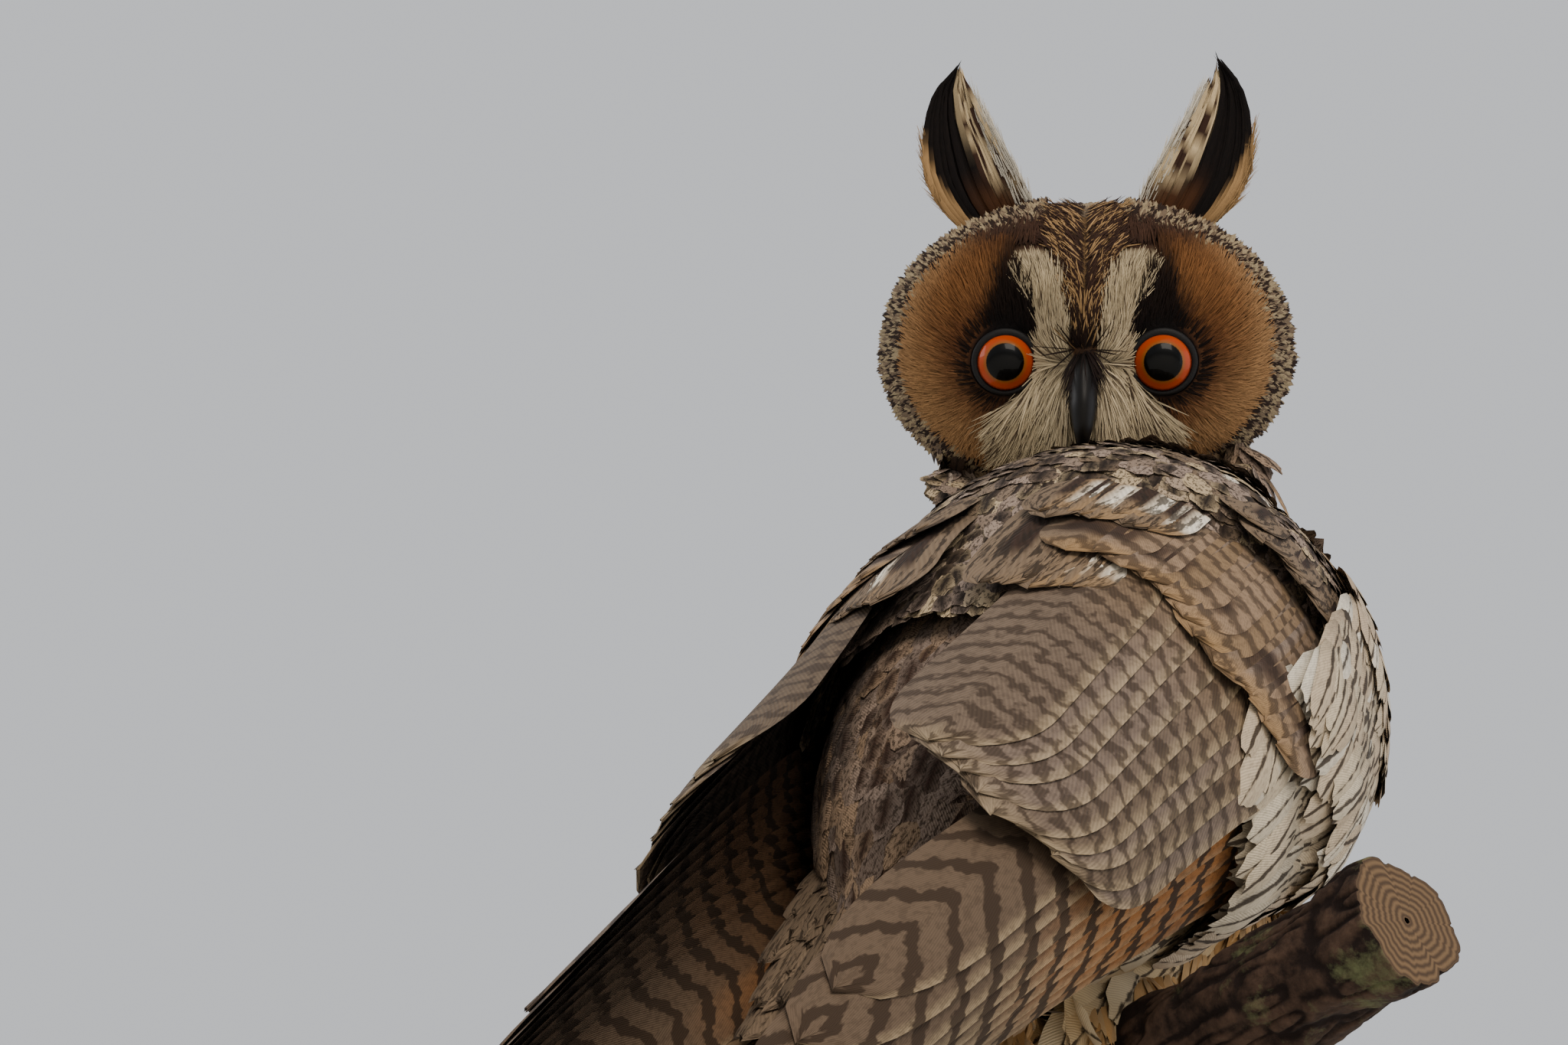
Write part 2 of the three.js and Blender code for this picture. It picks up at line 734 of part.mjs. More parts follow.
function toeSolid(t, toe, grow) {
  const steps = 4;
  const centres = [];
  const radii = [];
  for (let i = 0; i <= steps; i++) {
    const share = i / steps;
    const angle = (toe.start + (toe.end - toe.start) * share) * degree;
    centres.push(perchPoint(t + toe.offset * (0.45 + 0.75 * share), angle, toeRadius + 0.4));
    radii.push(toeRadius * (1.1 - 0.3 * share) + grow);
  }
  return limb(centres, radii, 7);
}

function clawSolid(t, toe) {
  const direction = Math.sign(toe.end);
  const start = toe.end + direction * 2;
  const stations = [0, 14, 28, 44];
  const radii = [2.1, 1.7, 1.1, 0.4];
  const centres = stations.map((turn, i) => perchPoint(
    t + toe.offset * 1.2, (start + direction * turn) * degree, 5.2 - 0.12 * i * i));
  return limb(centres, radii, 6);
}

function footSolid(side, grow) {
  const t = side * footSpread;
  const sole = ellipsoid(perchPoint(t, 0, 4), [perchAxis, perchFore, perchUp],
    [10 + grow, 10 + grow, 6.5 + grow], 10, 6);
  return joined([sole, ...toes.map((toe) => toeSolid(t, toe, grow))]);
}

function legSolid(side) {
  const ankle = perchPoint(side * footSpread, 0, 5);
  const hip = bodyCentre.clone().addScaledVector(forward, -4).addScaledVector(dorsal, -34)
    .add(new THREE.Vector3(-side * 21, 0, 0));
  const thigh = ellipsoid(hip, [new THREE.Vector3(1, 0, 0), forward, dorsal], [14, 22, 22], 12, 8);
  const shank = limb([hip, hip.clone().lerp(ankle, 0.5), ankle], [12, 10, 8], 10);
  return thigh.add(shank);
}

function addLegs(name, side) {
  const perch = perchSolid(gap);
  const foot = footSolid(side, gap);
  addNode(`leg_${name}`, cutBy(legSolid(side), torsoSolid(gap), foot, perch),
    materials.buff);
  addNode(`foot_${name}`, cutBy(footSolid(side, 0), perch), materials.buff);
  for (const toe of toes) {
    addNode(`claw_${toe.name}_${name}`, cutBy(clawSolid(side * footSpread, toe), perch, foot),
      materials.horn);
  }
}

addStand();
addNode('perch', perchSolid(0), materials.bark);
addNode('torso', cutBy(joined([torsoSolid(0), ...tailCoverts()]), headSolid(gap),
  footSolid(1, gap), footSolid(-1, gap)), materials.streaked);
addHead();
addTufts();
addWing('right', 1);
addWing('left', -1);
addTail();
addLegs('right', 1);
addLegs('left', -1);

export default group;
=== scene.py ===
# Long-eared owl gripping a cut branch on a display stand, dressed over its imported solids.
# Sizes are worked in millimetres and become metres where a mesh is made.
import math

import bpy
import numpy as np
from mathutils import Matrix, Vector


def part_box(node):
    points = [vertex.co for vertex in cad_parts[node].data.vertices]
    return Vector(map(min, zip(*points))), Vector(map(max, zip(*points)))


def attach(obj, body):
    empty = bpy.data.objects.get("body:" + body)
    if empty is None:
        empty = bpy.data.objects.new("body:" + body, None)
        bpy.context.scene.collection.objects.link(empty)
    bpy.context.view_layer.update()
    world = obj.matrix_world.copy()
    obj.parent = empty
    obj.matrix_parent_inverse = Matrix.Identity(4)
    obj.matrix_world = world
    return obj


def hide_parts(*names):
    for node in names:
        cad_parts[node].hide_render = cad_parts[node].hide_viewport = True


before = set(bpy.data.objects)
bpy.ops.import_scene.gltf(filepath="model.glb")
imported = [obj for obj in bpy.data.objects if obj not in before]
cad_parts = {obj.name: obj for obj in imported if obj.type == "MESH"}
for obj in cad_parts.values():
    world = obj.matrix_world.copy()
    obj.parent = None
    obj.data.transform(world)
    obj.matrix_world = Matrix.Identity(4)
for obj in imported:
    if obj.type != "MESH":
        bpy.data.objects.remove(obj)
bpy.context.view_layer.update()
mm = 0.001
degree = math.pi / 180
rng = np.random.default_rng(47)


def linear(hexColour):
    value = int(hexColour.lstrip("#"), 16)
    channels = [(value >> shift & 255) / 255 for shift in (16, 8, 0)]
    return np.array([c / 12.92 if c <= 0.04045 else ((c + 0.055) / 1.055) ** 2.4 for c in channels])


def addNode(tree, kind, settings=None, inputs=None):
    node = tree.nodes.new("ShaderNode" + kind)
    for name, value in (settings or {}).items():
        setattr(node, name, value)
    for name, value in (inputs or {}).items():
        if isinstance(value, bpy.types.NodeSocket):
            tree.links.new(value, node.inputs[name])
        else:
            node.inputs[name].default_value = value
    return node.outputs


def newMaterial(name, sockets):
    material = bpy.data.materials.new(name)
    material.use_nodes = True
    shader = material.node_tree.nodes["Principled BSDF"]
    for socket, value in sockets.items():
        shader.inputs[socket].default_value = value
    return material, material.node_tree, shader


def rgba(colour):
    return (*[float(c) for c in colour], 1.0)


def grainedMaterial(name, finish, spread, detail, tones=None, relief=None):
    # Two tones and a fine relief that follow one grain. The spread is in grains to the metre.
    material, tree, shader = newMaterial(name, finish)
    spot = addNode(tree, "TexCoord")["Object"]
    stretched = addNode(tree, "VectorMath", {"operation": "MULTIPLY"}, {0: spot, 1: spread})[0]
    grain = addNode(tree, "TexNoise", {}, {"Vector": stretched, "Scale": 1.0, "Detail": detail})[0]
    if tones:
        dark, pale = [rgba(linear(colour)) for colour in tones]
        tone = addNode(tree, "Mix", {"data_type": "RGBA"}, {0: grain, 6: dark, 7: pale})[2]
        tree.links.new(tone, shader.inputs["Base Color"])
    if relief:
        strength, distance = relief
        bumps = addNode(tree, "Bump", {}, {"Strength": strength, "Distance": distance, "Height": grain})[0]
        tree.links.new(bumps, shader.inputs["Normal"])
    return material


def addObject(name, data):
    thing = bpy.data.objects.new(name, data)
    bpy.context.scene.collection.objects.link(thing)
    return thing


# Small number helpers

def ease(value, low, high):
    t = np.clip((value - low) / (high - low), 0, 1)
    return t * t * (3 - 2 * t)


def blendTo(base, colour, share):
    return base + (colour - base) * np.asarray(share)[..., None]


def unit(vectors):
    return vectors / np.maximum(np.linalg.norm(vectors, axis=-1, keepdims=True), 1e-9)


def dot(a, b):
    return np.sum(a * b, axis=-1)


# The pose, from the same named sizes as the solids

posture = {
    "bodyTilt": 42,
    "headTurn": 158,
    "headDip": 33,
    "perchTop": 120,
    "bodyHeight": 69,
    "headOffset": (5, -18, 113),
}
tilt = posture["bodyTilt"] * degree
turn = posture["headTurn"] * degree
dip = posture["headDip"] * degree
forward = np.array([0, -math.cos(tilt), math.sin(tilt)])
dorsal = np.array([0, math.sin(tilt), math.cos(tilt)])
rightward = np.array([-1.0, 0, 0])
bodyCentre = np.array([0, 0, posture["perchTop"] + posture["bodyHeight"]], float)
faceOut = np.array([-math.sin(turn) * math.cos(dip), -math.cos(turn) * math.cos(dip), -math.sin(dip)])
faceLeft = np.array([math.cos(turn), -math.sin(turn), 0])
faceUp = np.cross(faceOut, faceLeft)
headCentre = bodyCentre + np.array(posture["headOffset"])

body = {"front": 92, "rear": 112, "half": 46, "back": 47, "belly": 50}
wing = {"tip": -213, "leave": -30, "tipHalf": 19, "tipDepth": 8, "tipRise": 20}


def torsoSection(s):
    front = np.clip(1 - np.abs(s / body["front"]) ** 2.6, 0, None) ** 0.5
    rear = np.clip(1 - np.abs(s / body["rear"]) ** 1.9, 0, None) ** 0.85
    fullness = np.where(s > 0, front, rear)
    rise = 8 * np.clip(-s / body["rear"], 0, None) ** 1.5
    return body["half"] * fullness, body["back"] * fullness, body["belly"] * fullness, rise


def wingSection(s):
    near = torsoSection(np.maximum(s, wing["leave"]))
    narrowing = np.clip((wing["leave"] - s) / (wing["leave"] - wing["tip"]), 0, 1) ** 0.8
    far = (wing["tipHalf"], wing["tipDepth"], wing["tipDepth"], wing["tipRise"])
    return [a + (b - a) * narrowing for a, b in zip(near, far)]


def bodyPoint(section, side, s, angle, lift):
    s, angle, lift = np.broadcast_arrays(*[np.asarray(x, float) for x in (s, angle, lift)])
    half, back, belly, rise = section(s)
    height = np.maximum(np.where(np.sin(angle) > 0, back, belly), 1e-3)
    outward = unit(np.stack([np.cos(angle) / np.maximum(half, 1e-3), np.sin(angle) / height], -1))
    across = np.cos(angle) * half + outward[..., 0] * lift
    over = np.sin(angle) * height + outward[..., 1] * lift + rise
    return (bodyCentre + s[..., None] * forward + side * across[..., None] * rightward
            + over[..., None] * dorsal)


def bodyPlace(points):
    # Where points lie on the torso: along it, turned from the side to the back, and on which side
    rel = points - bodyCentre
    s = rel @ forward
    half, back, belly, rise = torsoSection(np.clip(s, -104, 88))
    across = rel @ rightward
    over = rel @ dorsal - rise
    angle = np.arctan2(over / np.where(over > 0, back, belly), np.abs(across) / half)
    return s, angle / degree, across


# The head, in its own frame: x to the owl's left, y over the crown, z out of the face

skull = {"half": 47.5, "crown": 33, "chin": 37, "face": 30, "nape": 42, "power": 2.3}
eyes = {"spacing": 36, "drop": 5.9, "radius": 9, "front": 3.4, "iris": 6.45, "pupil": 4.05}


def headPlace(x, y, z):
    x, y, z = [np.asarray(c, float)[..., None] for c in (x, y, z)]
    return headCentre + x * faceLeft + y * faceUp + z * faceOut


def headFrame(points):
    rel = points - headCentre
    return rel @ faceLeft, rel @ faceUp, rel @ faceOut


def bump(value, width):
    return np.exp(-((value / width) ** 2))


def headReach(x, y, z):
    height = np.where(y > 0, skull["crown"], skull["chin"])
    depth = np.where(z > 0, skull["face"], skull["nape"])
    power = skull["power"]
    total = np.abs(x / skull["half"]) ** power + np.abs(y / height) ** power + np.abs(z / depth) ** power
    reach = total ** (-1 / power)
    across, over = np.abs(x) * reach, y * reach
    fromLobe = np.hypot(across - 20, (over + 3) * 1.05)
    bowl = -4.5 * bump(fromLobe, 15)
    rim = 1.6 * bump(fromLobe - 25, 4) * z
    ridge = 4.5 * bump(across, 6.5) * bump(over + 2, 17)
    brow = 2.5 * bump(across - 9 - np.maximum(0, over) * 0.28, 5) * bump(over - 12, 12)
    return reach + np.where(z > 0, (bowl + rim + ridge + brow) * z, 0)


def faceSurface(x, y):
    x, y = np.broadcast_arrays(np.asarray(x, float), np.asarray(y, float))
    z = np.full(x.shape, float(skull["face"]))
    for _ in range(14):
        length = np.sqrt(x * x + y * y + z * z)
        z = z * headReach(x / length, y / length, z / length) / length
    return z


eyeDepth = float(faceSurface(eyes["spacing"] / 2, -eyes["drop"])) + eyes["front"] - eyes["radius"]

# The perch: t runs along it, the angle turns from its top toward the bird's front

perch = {
    "top": posture["perchTop"], "radius": 12, "length": 184, "slope": 13, "turn": 30, "bark": 0.7,
    "rows": 460, "sides": 190, "sawn": (0.97, 0.9, 0.75, 0.55, 0.3, 0.05),
}
perchAxis = np.array([
    -math.cos(perch["turn"] * degree) * math.cos(perch["slope"] * degree),
    math.sin(perch["turn"] * degree) * math.cos(perch["slope"] * degree),
    math.sin(perch["slope"] * degree),
])
perchUp = unit(np.array([0, 0, 1]) - perchAxis * perchAxis[2])
perchFore = np.cross(perchUp, perchAxis)


def perchCentre(t):
    t = np.asarray(t, float)[..., None]
    bend = 3 * np.sin(t / perch["length"] * math.pi * 1.3) - 2
    return np.array([0, 0, perch["top"] - perch["radius"] + 2]) + perchAxis * t + perchUp * bend


def perchPoint(t, angle, lift):
    t, angle, lift = np.broadcast_arrays(*[np.asarray(x, float) for x in (t, angle, lift)])
    taper = 1 - 0.12 * (t / perch["length"] + 0.5) + 0.04 * np.cos(t * 0.21)
    bark = np.sin(3 * angle + t * 0.11) + 0.7 * np.sin(5 * angle - t * 0.23)
    reach = perch["radius"] * taper + perch["bark"] * bark + lift
    return (perchCentre(t) + perchUp * (np.cos(angle) * reach)[..., None]
            + perchFore * (np.sin(angle) * reach)[..., None])


# Meshes from arrays

def addPiece(name, points, quads, material, covers=(), bake=None, layers=None, smooth=True):
    mesh = bpy.data.meshes.new(name)
    mesh.vertices.add(len(points))
    mesh.vertices.foreach_set("co", (points * mm).astype(np.float32).ravel())
    mesh.loops.add(quads.size)
    mesh.loops.foreach_set("vertex_index", quads.astype(np.int32).ravel())
    mesh.polygons.add(len(quads))
    mesh.polygons.foreach_set("loop_start", np.arange(0, quads.size, quads.shape[1], dtype=np.int32))
    mesh.update(calc_edges=True)
    mesh.polygons.foreach_set("use_smooth", np.full(len(quads), smooth))
    if bake is not None:
        layer = mesh.uv_layers.new(name="OFBake")
        layer.data.foreach_set("uv", bake[quads.ravel()].astype(np.float32).ravel())
    for title, values in (layers or {}).items():
        kind = "FLOAT_COLOR" if values.shape[1] == 4 else "FLOAT_VECTOR"
        attribute = mesh.attributes.new(title, kind, "POINT")
        attribute.data.foreach_set("color" if kind == "FLOAT_COLOR" else "vector",
                                   values.astype(np.float32).ravel())
    mesh.materials.append(material)
    piece = addObject(name, mesh)
    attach(piece, "root")
    if covers:
        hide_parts(*covers)
    return piece


def gridQuads(count, rows, columns):
    index = np.arange(count * rows * columns).reshape(count, rows, columns)
    corners = [index[:, :-1, :-1], index[:, :-1, 1:], index[:, 1:, 1:], index[:, 1:, :-1]]
    return np.stack(corners, -1).reshape(-1, 4)


def loft(rings, closedEnds=True):
    # rings: (count, sides, 3). Ends are closed by a point in their middle, as flat quads.
    if closedEnds:
        first = np.repeat(rings[:1].mean(1, keepdims=True), rings.shape[1], 1)
        last = np.repeat(rings[-1:].mean(1, keepdims=True), rings.shape[1], 1)
        rings = np.concatenate([first, rings, last])
    count, sides, _ = rings.shape
    index = np.arange(count * sides).reshape(count, sides)
    after = np.roll(index, -1, 1)
    quads = np.stack([index[:-1], after[:-1], after[1:], index[1:]], -1).reshape(-1, 4)
    return rings.reshape(-1, 3), quads


def skinUnwrap(points):
    # The skin laid out flat: the body by its length and girth, the head round its nape and face
    s, angle, across = bodyPlace(points)
    x, y, z = headFrame(points)
    onHead = np.sqrt(x * x + y * y + z * z) < 56
    girth = 0.25 + 0.25 * angle / 90
    bodyUv = np.stack([np.where(across > 0, girth, 1 - girth), 0.02 + 0.55 * (s + 215) / 320], -1)
    spread = np.arccos(np.clip(z / np.maximum(np.sqrt(x * x + y * y + z * z), 1e-6), -1, 1)) / math.pi
    compass = np.arctan2(y, x)
    headUv = np.stack([0.5 + 0.48 * spread * np.cos(compass), 0.79 + 0.2 * spread * np.sin(compass)], -1)
    return np.clip(np.where(onHead[:, None], headUv, bodyUv), 0.003, 0.997)


def vanePlaces(count, rows, columns):
    # Along each vane, across it, and a random number of its own
    place = np.empty((count, rows, columns, 3))
    place[..., 0] = np.linspace(0, 1, rows)[:, None]
    place[..., 1] = np.linspace(-1, 1, columns)
    place[..., 2] = rng.random(count)[:, None, None]
    return place


def ribbons(centres, sides, ups, columns, camber=0.2, fray=0.0, roundTip=0.5):
    # Vanes, locks or barbs as strips: centres and half widths at each row, over many of them at once
    count, rows, _ = centres.shape
    v = np.linspace(-1, 1, columns)
    half = np.linalg.norm(sides, axis=-1)[:, :, None, None]
    points = (centres[:, :, None] + sides[:, :, None] * v[:, None]
              - ups[:, :, None] * camber * half * (v ** 2)[:, None])
    last = (centres[:, -1] - centres[:, -2])[:, None]
    cut = roundTip * (v ** 2)[None, :, None] - fray * rng.uniform(-1, 1, (count, columns, 1))
    points[:, -1] -= last * cut
    return points, vanePlaces(count, rows, columns)


def addVanes(name, shapes, tones, marks, material, covers=(), patch=0.003):
    # shapes is what ribbons gives. A vane's patch of the bake map lies at its root's place on the
    # skin; with patch 0, a long feather has a rectangle of its own.
    points, place = shapes
    count, rows, columns, _ = points.shape
    if patch:
        roots = skinUnwrap(points[:, 0, columns // 2])
        bake = roots[:, None, None] + patch * np.stack([place[..., 1] * 0.5, place[..., 0]], -1)
    else:
        across = (np.arange(count)[:, None, None] + 0.5 + 0.45 * place[..., 1]) / count
        bake = np.stack([across, 0.02 + 0.96 * place[..., 0]], -1)

    def overVanes(values):
        values = np.asarray(values, float)
        if values.ndim == 1:
            values = np.tile(values, (count, 1))
        if values.ndim < 4:
            values = values.reshape(count, -1, 1, 3)
        return np.broadcast_to(values, points.shape).reshape(-1, 3)

    colours = np.concatenate([overVanes(tones), np.ones((count * rows * columns, 1))], 1)
    layers = {"tone": colours, "place": place.reshape(-1, 3), "marks": overVanes(marks)}
    limit = 95000 // ((rows - 1) * (columns - 1))
    for part, start in enumerate(range(0, count, limit)):
        stop = min(count, start + limit)
        pick = slice(start * rows * columns, stop * rows * columns)
        addPiece(
            name if count <= limit else f"{name}_{part + 1}",
            points[start:stop].reshape(-1, 3), gridQuads(stop - start, rows, columns), material,
            covers if part == 0 else (), bake.reshape(-1, 2)[pick],
            {title: values[pick] for title, values in layers.items()})


def layOn(roots, ups, lies, length, half, lift, tilt, hug, rows, taper=0.0):
    # Centres and half widths of feathers that lie on a surface and bend down with it
    u = np.linspace(0, 1, rows)
    run = length[:, None] * u
    rise = np.broadcast_to(lift, length.shape)[:, None] + tilt[:, None] * run - run ** 2 / (2 * hug)
    centres = roots[:, None] + lies[:, None] * run[..., None] + ups[:, None] * rise[..., None]
    outline = np.minimum(1, 0.4 + 2.2 * u) * (1 - 0.55 * u ** 5) * (1 - taper * u ** 1.5)
    across = unit(np.cross(lies, ups))
    sides = across[:, None] * (half[:, None] * outline)[..., None]
    return centres, sides, np.broadcast_to(ups[:, None], centres.shape)


def layFeathers(look, roots, ups, lies, longer=1, wider=1, steeper=1, hug=None):
    # Feathers of random size, laid on and cut out as the piece's own dictionary says
    count = len(roots)
    length = rng.uniform(*look["length"], count) * longer
    half = rng.uniform(*look["half"], count) * wider
    tilt = rng.uniform(*look["tilt"], count) * steeper
    laid = layOn(roots, ups, lies, length, half, look["lift"], tilt, look["hug"] if hug is None else hug,
                 look["rows"], look.get("taper", 0.0))
    return ribbons(*laid, look["columns"], fray=look["fray"], roundTip=look["roundTip"])


# Feather keratin: a soft matt vane with a dark shaft streak, bars or mottling, and fine barbs across it
featherFinish = {
    "Roughness": 0.8,
    "Specular IOR Level": 0.1,
    "Sheen Weight": 0.02,
    "Sheen Roughness": 0.5,
}


def plumage(name, look):
    material, tree, shader = newMaterial(name, featherFinish)
    tone = addNode(tree, "Attribute", {"attribute_name": "tone"})["Color"]
    place = addNode(tree, "Attribute", {"attribute_name": "place"})["Vector"]
    marks = addNode(tree, "Attribute", {"attribute_name": "marks"})["Vector"]
    along, across, seed = addNode(tree, "SeparateXYZ", {}, {0: place})
    streak, bars, mottle = addNode(tree, "SeparateXYZ", {}, {0: marks})
    side = addNode(tree, "Math", {"operation": "ABSOLUTE"}, {0: across})[0]

    spread = addNode(tree, "VectorMath", {"operation": "MULTIPLY"},
                     {0: place, 1: look["grain"]})[0]
    wobble = addNode(tree, "TexNoise", {}, {"Vector": spread, "Scale": 1.0, "Detail": 3.0})[0]
    shift = addNode(tree, "Math", {"operation": "SUBTRACT"}, {0: wobble, 1: 0.5})[0]

    # A streak down the shaft, ragged where the barbs part
    ragged = addNode(tree, "Math", {"operation": "MULTIPLY_ADD"},
                     {0: shift, 1: look["ragged"], 2: side})[0]
    edge = addNode(tree, "Math", {"operation": "ADD"}, {0: streak, 1: 0.12})[0]
    streakShare = addNode(tree, "MapRange", {}, {
        "Value": ragged, "From Min": streak, "From Max": edge, "To Min": 1.0, "To Max": 0.0})[0]

    # Bars that bend toward the tip at the vane's edges, as the barbs do
    bent = addNode(tree, "Math", {"operation": "MULTIPLY_ADD"},
                   {0: side, 1: look["chevron"], 2: along})[0]
    waved = addNode(tree, "Math", {"operation": "MULTIPLY_ADD"}, {0: shift, 1: look["wave"], 2: bent})[0]
    counted = addNode(tree, "Math", {"operation": "MULTIPLY"}, {0: waved, 1: bars})[0]
    turned = addNode(tree, "Math", {"operation": "MULTIPLY_ADD"},
                     {0: counted, 1: 2 * math.pi, 2: seed})[0]
    ripple = addNode(tree, "Math", {"operation": "SINE"}, {0: turned})[0]
    least, most = look["barEdge"]
    barEdge = addNode(tree, "MapRange", {}, {"Value": ripple, "From Min": least, "From Max": most})[0]
    barred = addNode(tree, "MapRange", {}, {"Value": bars, "From Min": 0.4, "From Max": 0.6})[0]
    barShare = addNode(tree, "Math", {"operation": "MULTIPLY"}, {0: barEdge, 1: barred})[0]

    # Fine dark freckles, as on a bird that sleeps against bark
    freckleSpread = addNode(tree, "VectorMath", {"operation": "MULTIPLY"},
                            {0: place, 1: look["freckle"]})[0]
    freckle = addNode(tree, "TexNoise", {},
                      {"Vector": freckleSpread, "Scale": 1.0, "Detail": 4.0, "Roughness": 0.65})[0]
    least, most = look["freckleEdge"]
    freckleEdge = addNode(tree, "MapRange", {}, {"Value": freckle, "From Min": least, "From Max": most})[0]
    freckleShare = addNode(tree, "Math", {"operation": "MULTIPLY"},
                           {0: freckleEdge, 1: mottle})[0]

    stronger = addNode(tree, "Math", {"operation": "MAXIMUM"}, {0: streakShare, 1: barShare})[0]
    share = addNode(tree, "Math", {"operation": "MAXIMUM"}, {0: stronger, 1: freckleShare})[0]
    held = addNode(tree, "Math", {"operation": "MULTIPLY"}, {0: share, 1: look["depth"]})[0]
    marked = addNode(tree, "Mix", {"data_type": "RGBA"},
                     {0: held, 6: tone, 7: rgba(linear(look["dark"]))})[2]

    # Barbs slant from the shaft toward the tip
    slant = addNode(tree, "Math", {"operation": "MULTIPLY_ADD"}, {0: side, 1: -0.22, 2: along})[0]
    comb = addNode(tree, "Math", {"operation": "MULTIPLY"},
                   {0: slant, 1: 2 * math.pi * look["barbs"]})[0]
    ridges = addNode(tree, "Math", {"operation": "SINE"}, {0: comb})[0]
    shade = addNode(tree, "MapRange", {},
                    {"Value": ridges, "From Min": -1.0, "From Max": 1.0, "To Min": 0.86, "To Max": 1.06})[0]
    rootShade = addNode(tree, "MapRange", {},
                        {"Value": along, "From Min": 0.0, "From Max": 0.45, "To Min": 0.55, "To Max": 1.0})[0]
    both = addNode(tree, "Math", {"operation": "MULTIPLY"}, {0: shade, 1: rootShade})[0]
    final = addNode(tree, "VectorMath", {"operation": "SCALE"}, {0: marked, "Scale": both})[0]
    tree.links.new(final, shader.inputs["Base Color"])
    relief = addNode(tree, "Bump", {}, {"Strength": 0.25, "Distance": 0.0002, "Height": ridges})[0]
    tree.links.new(relief, shader.inputs["Normal"])
    return material


# Real barbs stand 0.2 to 0.4 mm apart. The ridges of the smallest feathers do too, but those of the body,
# the wings and the tail stand for bundles of barbs, 0.4 to 2 mm apart. Freckles are two or three times as
# coarse as real ones. Both are coarser so that they show at the picture's size.
looks = {
    "grain": (7, 2.5, 60), "wave": 0.1, "ragged": 0.5, "chevron": -0.18, "barEdge": (0.1, 0.5),
    "freckle": (14, 6, 80), "freckleEdge": (0.47, 0.6), "depth": 0.92, "dark": "#2B2018", "barbs": 26,
}
bodyPlumage = plumage("contour_feather_keratin", looks)  # soft and matt, streaked along the shaft
backPlumage = plumage("mottled_feather_keratin", {
    **looks, "freckle": (9, 5, 80), "freckleEdge": (0.5, 0.57), "dark": "#221A13"})
flightPlumage = plumage("flight_feather_keratin", {
    **looks, "grain": (40, 4, 60), "wave": 0.045, "ragged": 0.1, "chevron": -0.06, "barEdge": (0.25, 0.6),
    "freckle": (90, 8, 80), "dark": "#33271D", "barbs": 110})  # stiffer vanes, crisp bars
# Open hair-like barbs, each a strip of its own, so with hardly any ridges
facePlumage = plumage("disc_feather_barbs", {**looks, "depth": 0.5, "barbs": 3})
tuftPlumage = plumage("tuft_feather_keratin", {**looks, "freckle": (22, 3, 80), "barbs": 40})
greyPlumage = plumage("secondary_feather_keratin", {
    **looks, "grain": (30, 4, 60), "ragged": 0.15, "chevron": -0.05, "barEdge": (-0.3, 0.8),
    "freckle": (60, 9, 80), "depth": 0.72, "barbs": 70})  # greyer, with softer and closer bars


# Skin: one closed surface under the coat, from the same forms as the solids but inside them

skinDepth = {"torso": 3.4, "neck": 3.0, "head": 1.4, "arm": 3.0, "leg": 1.3, "toe": 0.5, "voxel": 1.35}


def torsoForm(grow):
    run = -np.cos(np.linspace(0, 1, 48) * math.pi)
    s = np.where(run > 0, run * (body["front"] - 1), run * (body["rear"] - 6))
    angle = np.linspace(0, 2 * math.pi, 64, endpoint=False)
    return loft(bodyPoint(torsoSection, 1, s[:, None], angle[None, :], grow))


def neckForm(grow):
    foot = bodyCentre + forward * 40 + dorsal * 8
    nape = headPlace(0, -4, -16)
    t = np.linspace(0, 1, 16)
    width = np.interp(t, [0, 0.25, 0.5, 0.75, 1], [36, 40, 41, 37, 25])
    angle = np.linspace(0, 2 * math.pi, 40, endpoint=False)
    middle = foot + (nape - foot) * t[:, None]
    ring = np.stack([np.cos(angle)[None] * (width + grow)[:, None],
                     np.sin(angle)[None] * (width * 0.92 + grow)[:, None], np.zeros((16, 40))], -1)
    # It gives way before the face
    x, y, z = headFrame(middle[:, None] + ring)
    z = np.where(discReach(x, y) < 1.15, np.minimum(z, faceSurface(x, y) - 5), z)
    return loft(headPlace(x, y, z))


def headForm(grow):
    fromFront = math.pi * (np.arange(1, 70) / 70) ** 1.15
    compass = np.linspace(0, 2 * math.pi, 96, endpoint=False)
    x = np.sin(fromFront)[:, None] * np.cos(compass)
    y = np.sin(fromFront)[:, None] * np.sin(compass)
    z = np.repeat(np.cos(fromFront)[:, None], 96, 1)
    reach = headReach(x, y, z) + grow
    return loft(headPlace(x * reach, y * reach, z * reach))


def slabForm(side, run, low, high, bottom, top):
    # A closed slab on the body, between two lifts given over its run and width
    u, v = np.meshgrid(np.linspace(0, 1, 24), np.linspace(-1, 1, 24), indexing="ij")
    s = run[0] + (run[1] - run[0]) * u
    angle = (low + (high - low) * (v + 1) / 2) * degree
    upper = bodyPoint(wingSection, side, s, angle, top(u, v))
    lower = bodyPoint(wingSection, side, s, angle, bottom)
    rings = np.concatenate([upper, lower[:, ::-1]], 1)
    return loft(rings)


def armTop(u, v):
    return 0.5 + 9.8 * (1 - v ** 8) * np.sin(math.pi * (0.12 + 0.66 * u)) ** 0.8


def limbForm(centres, radii, sides=20):
    centres = np.asarray(centres, float)
    ahead = np.concatenate([centres[1:], centres[-1:]])
    behind = np.concatenate([centres[:1], centres[:-1]])
    run = unit(ahead - behind)
    over = unit(np.cross(run, perchAxis))
    beside = np.cross(over, run)
    angle = np.linspace(0, 2 * math.pi, sides, endpoint=False)
    ring = beside[:, None] * np.cos(angle)[:, None] + over[:, None] * np.sin(angle)[:, None]
    return loft(centres[:, None] + ring * np.asarray(radii, float)[:, None, None])


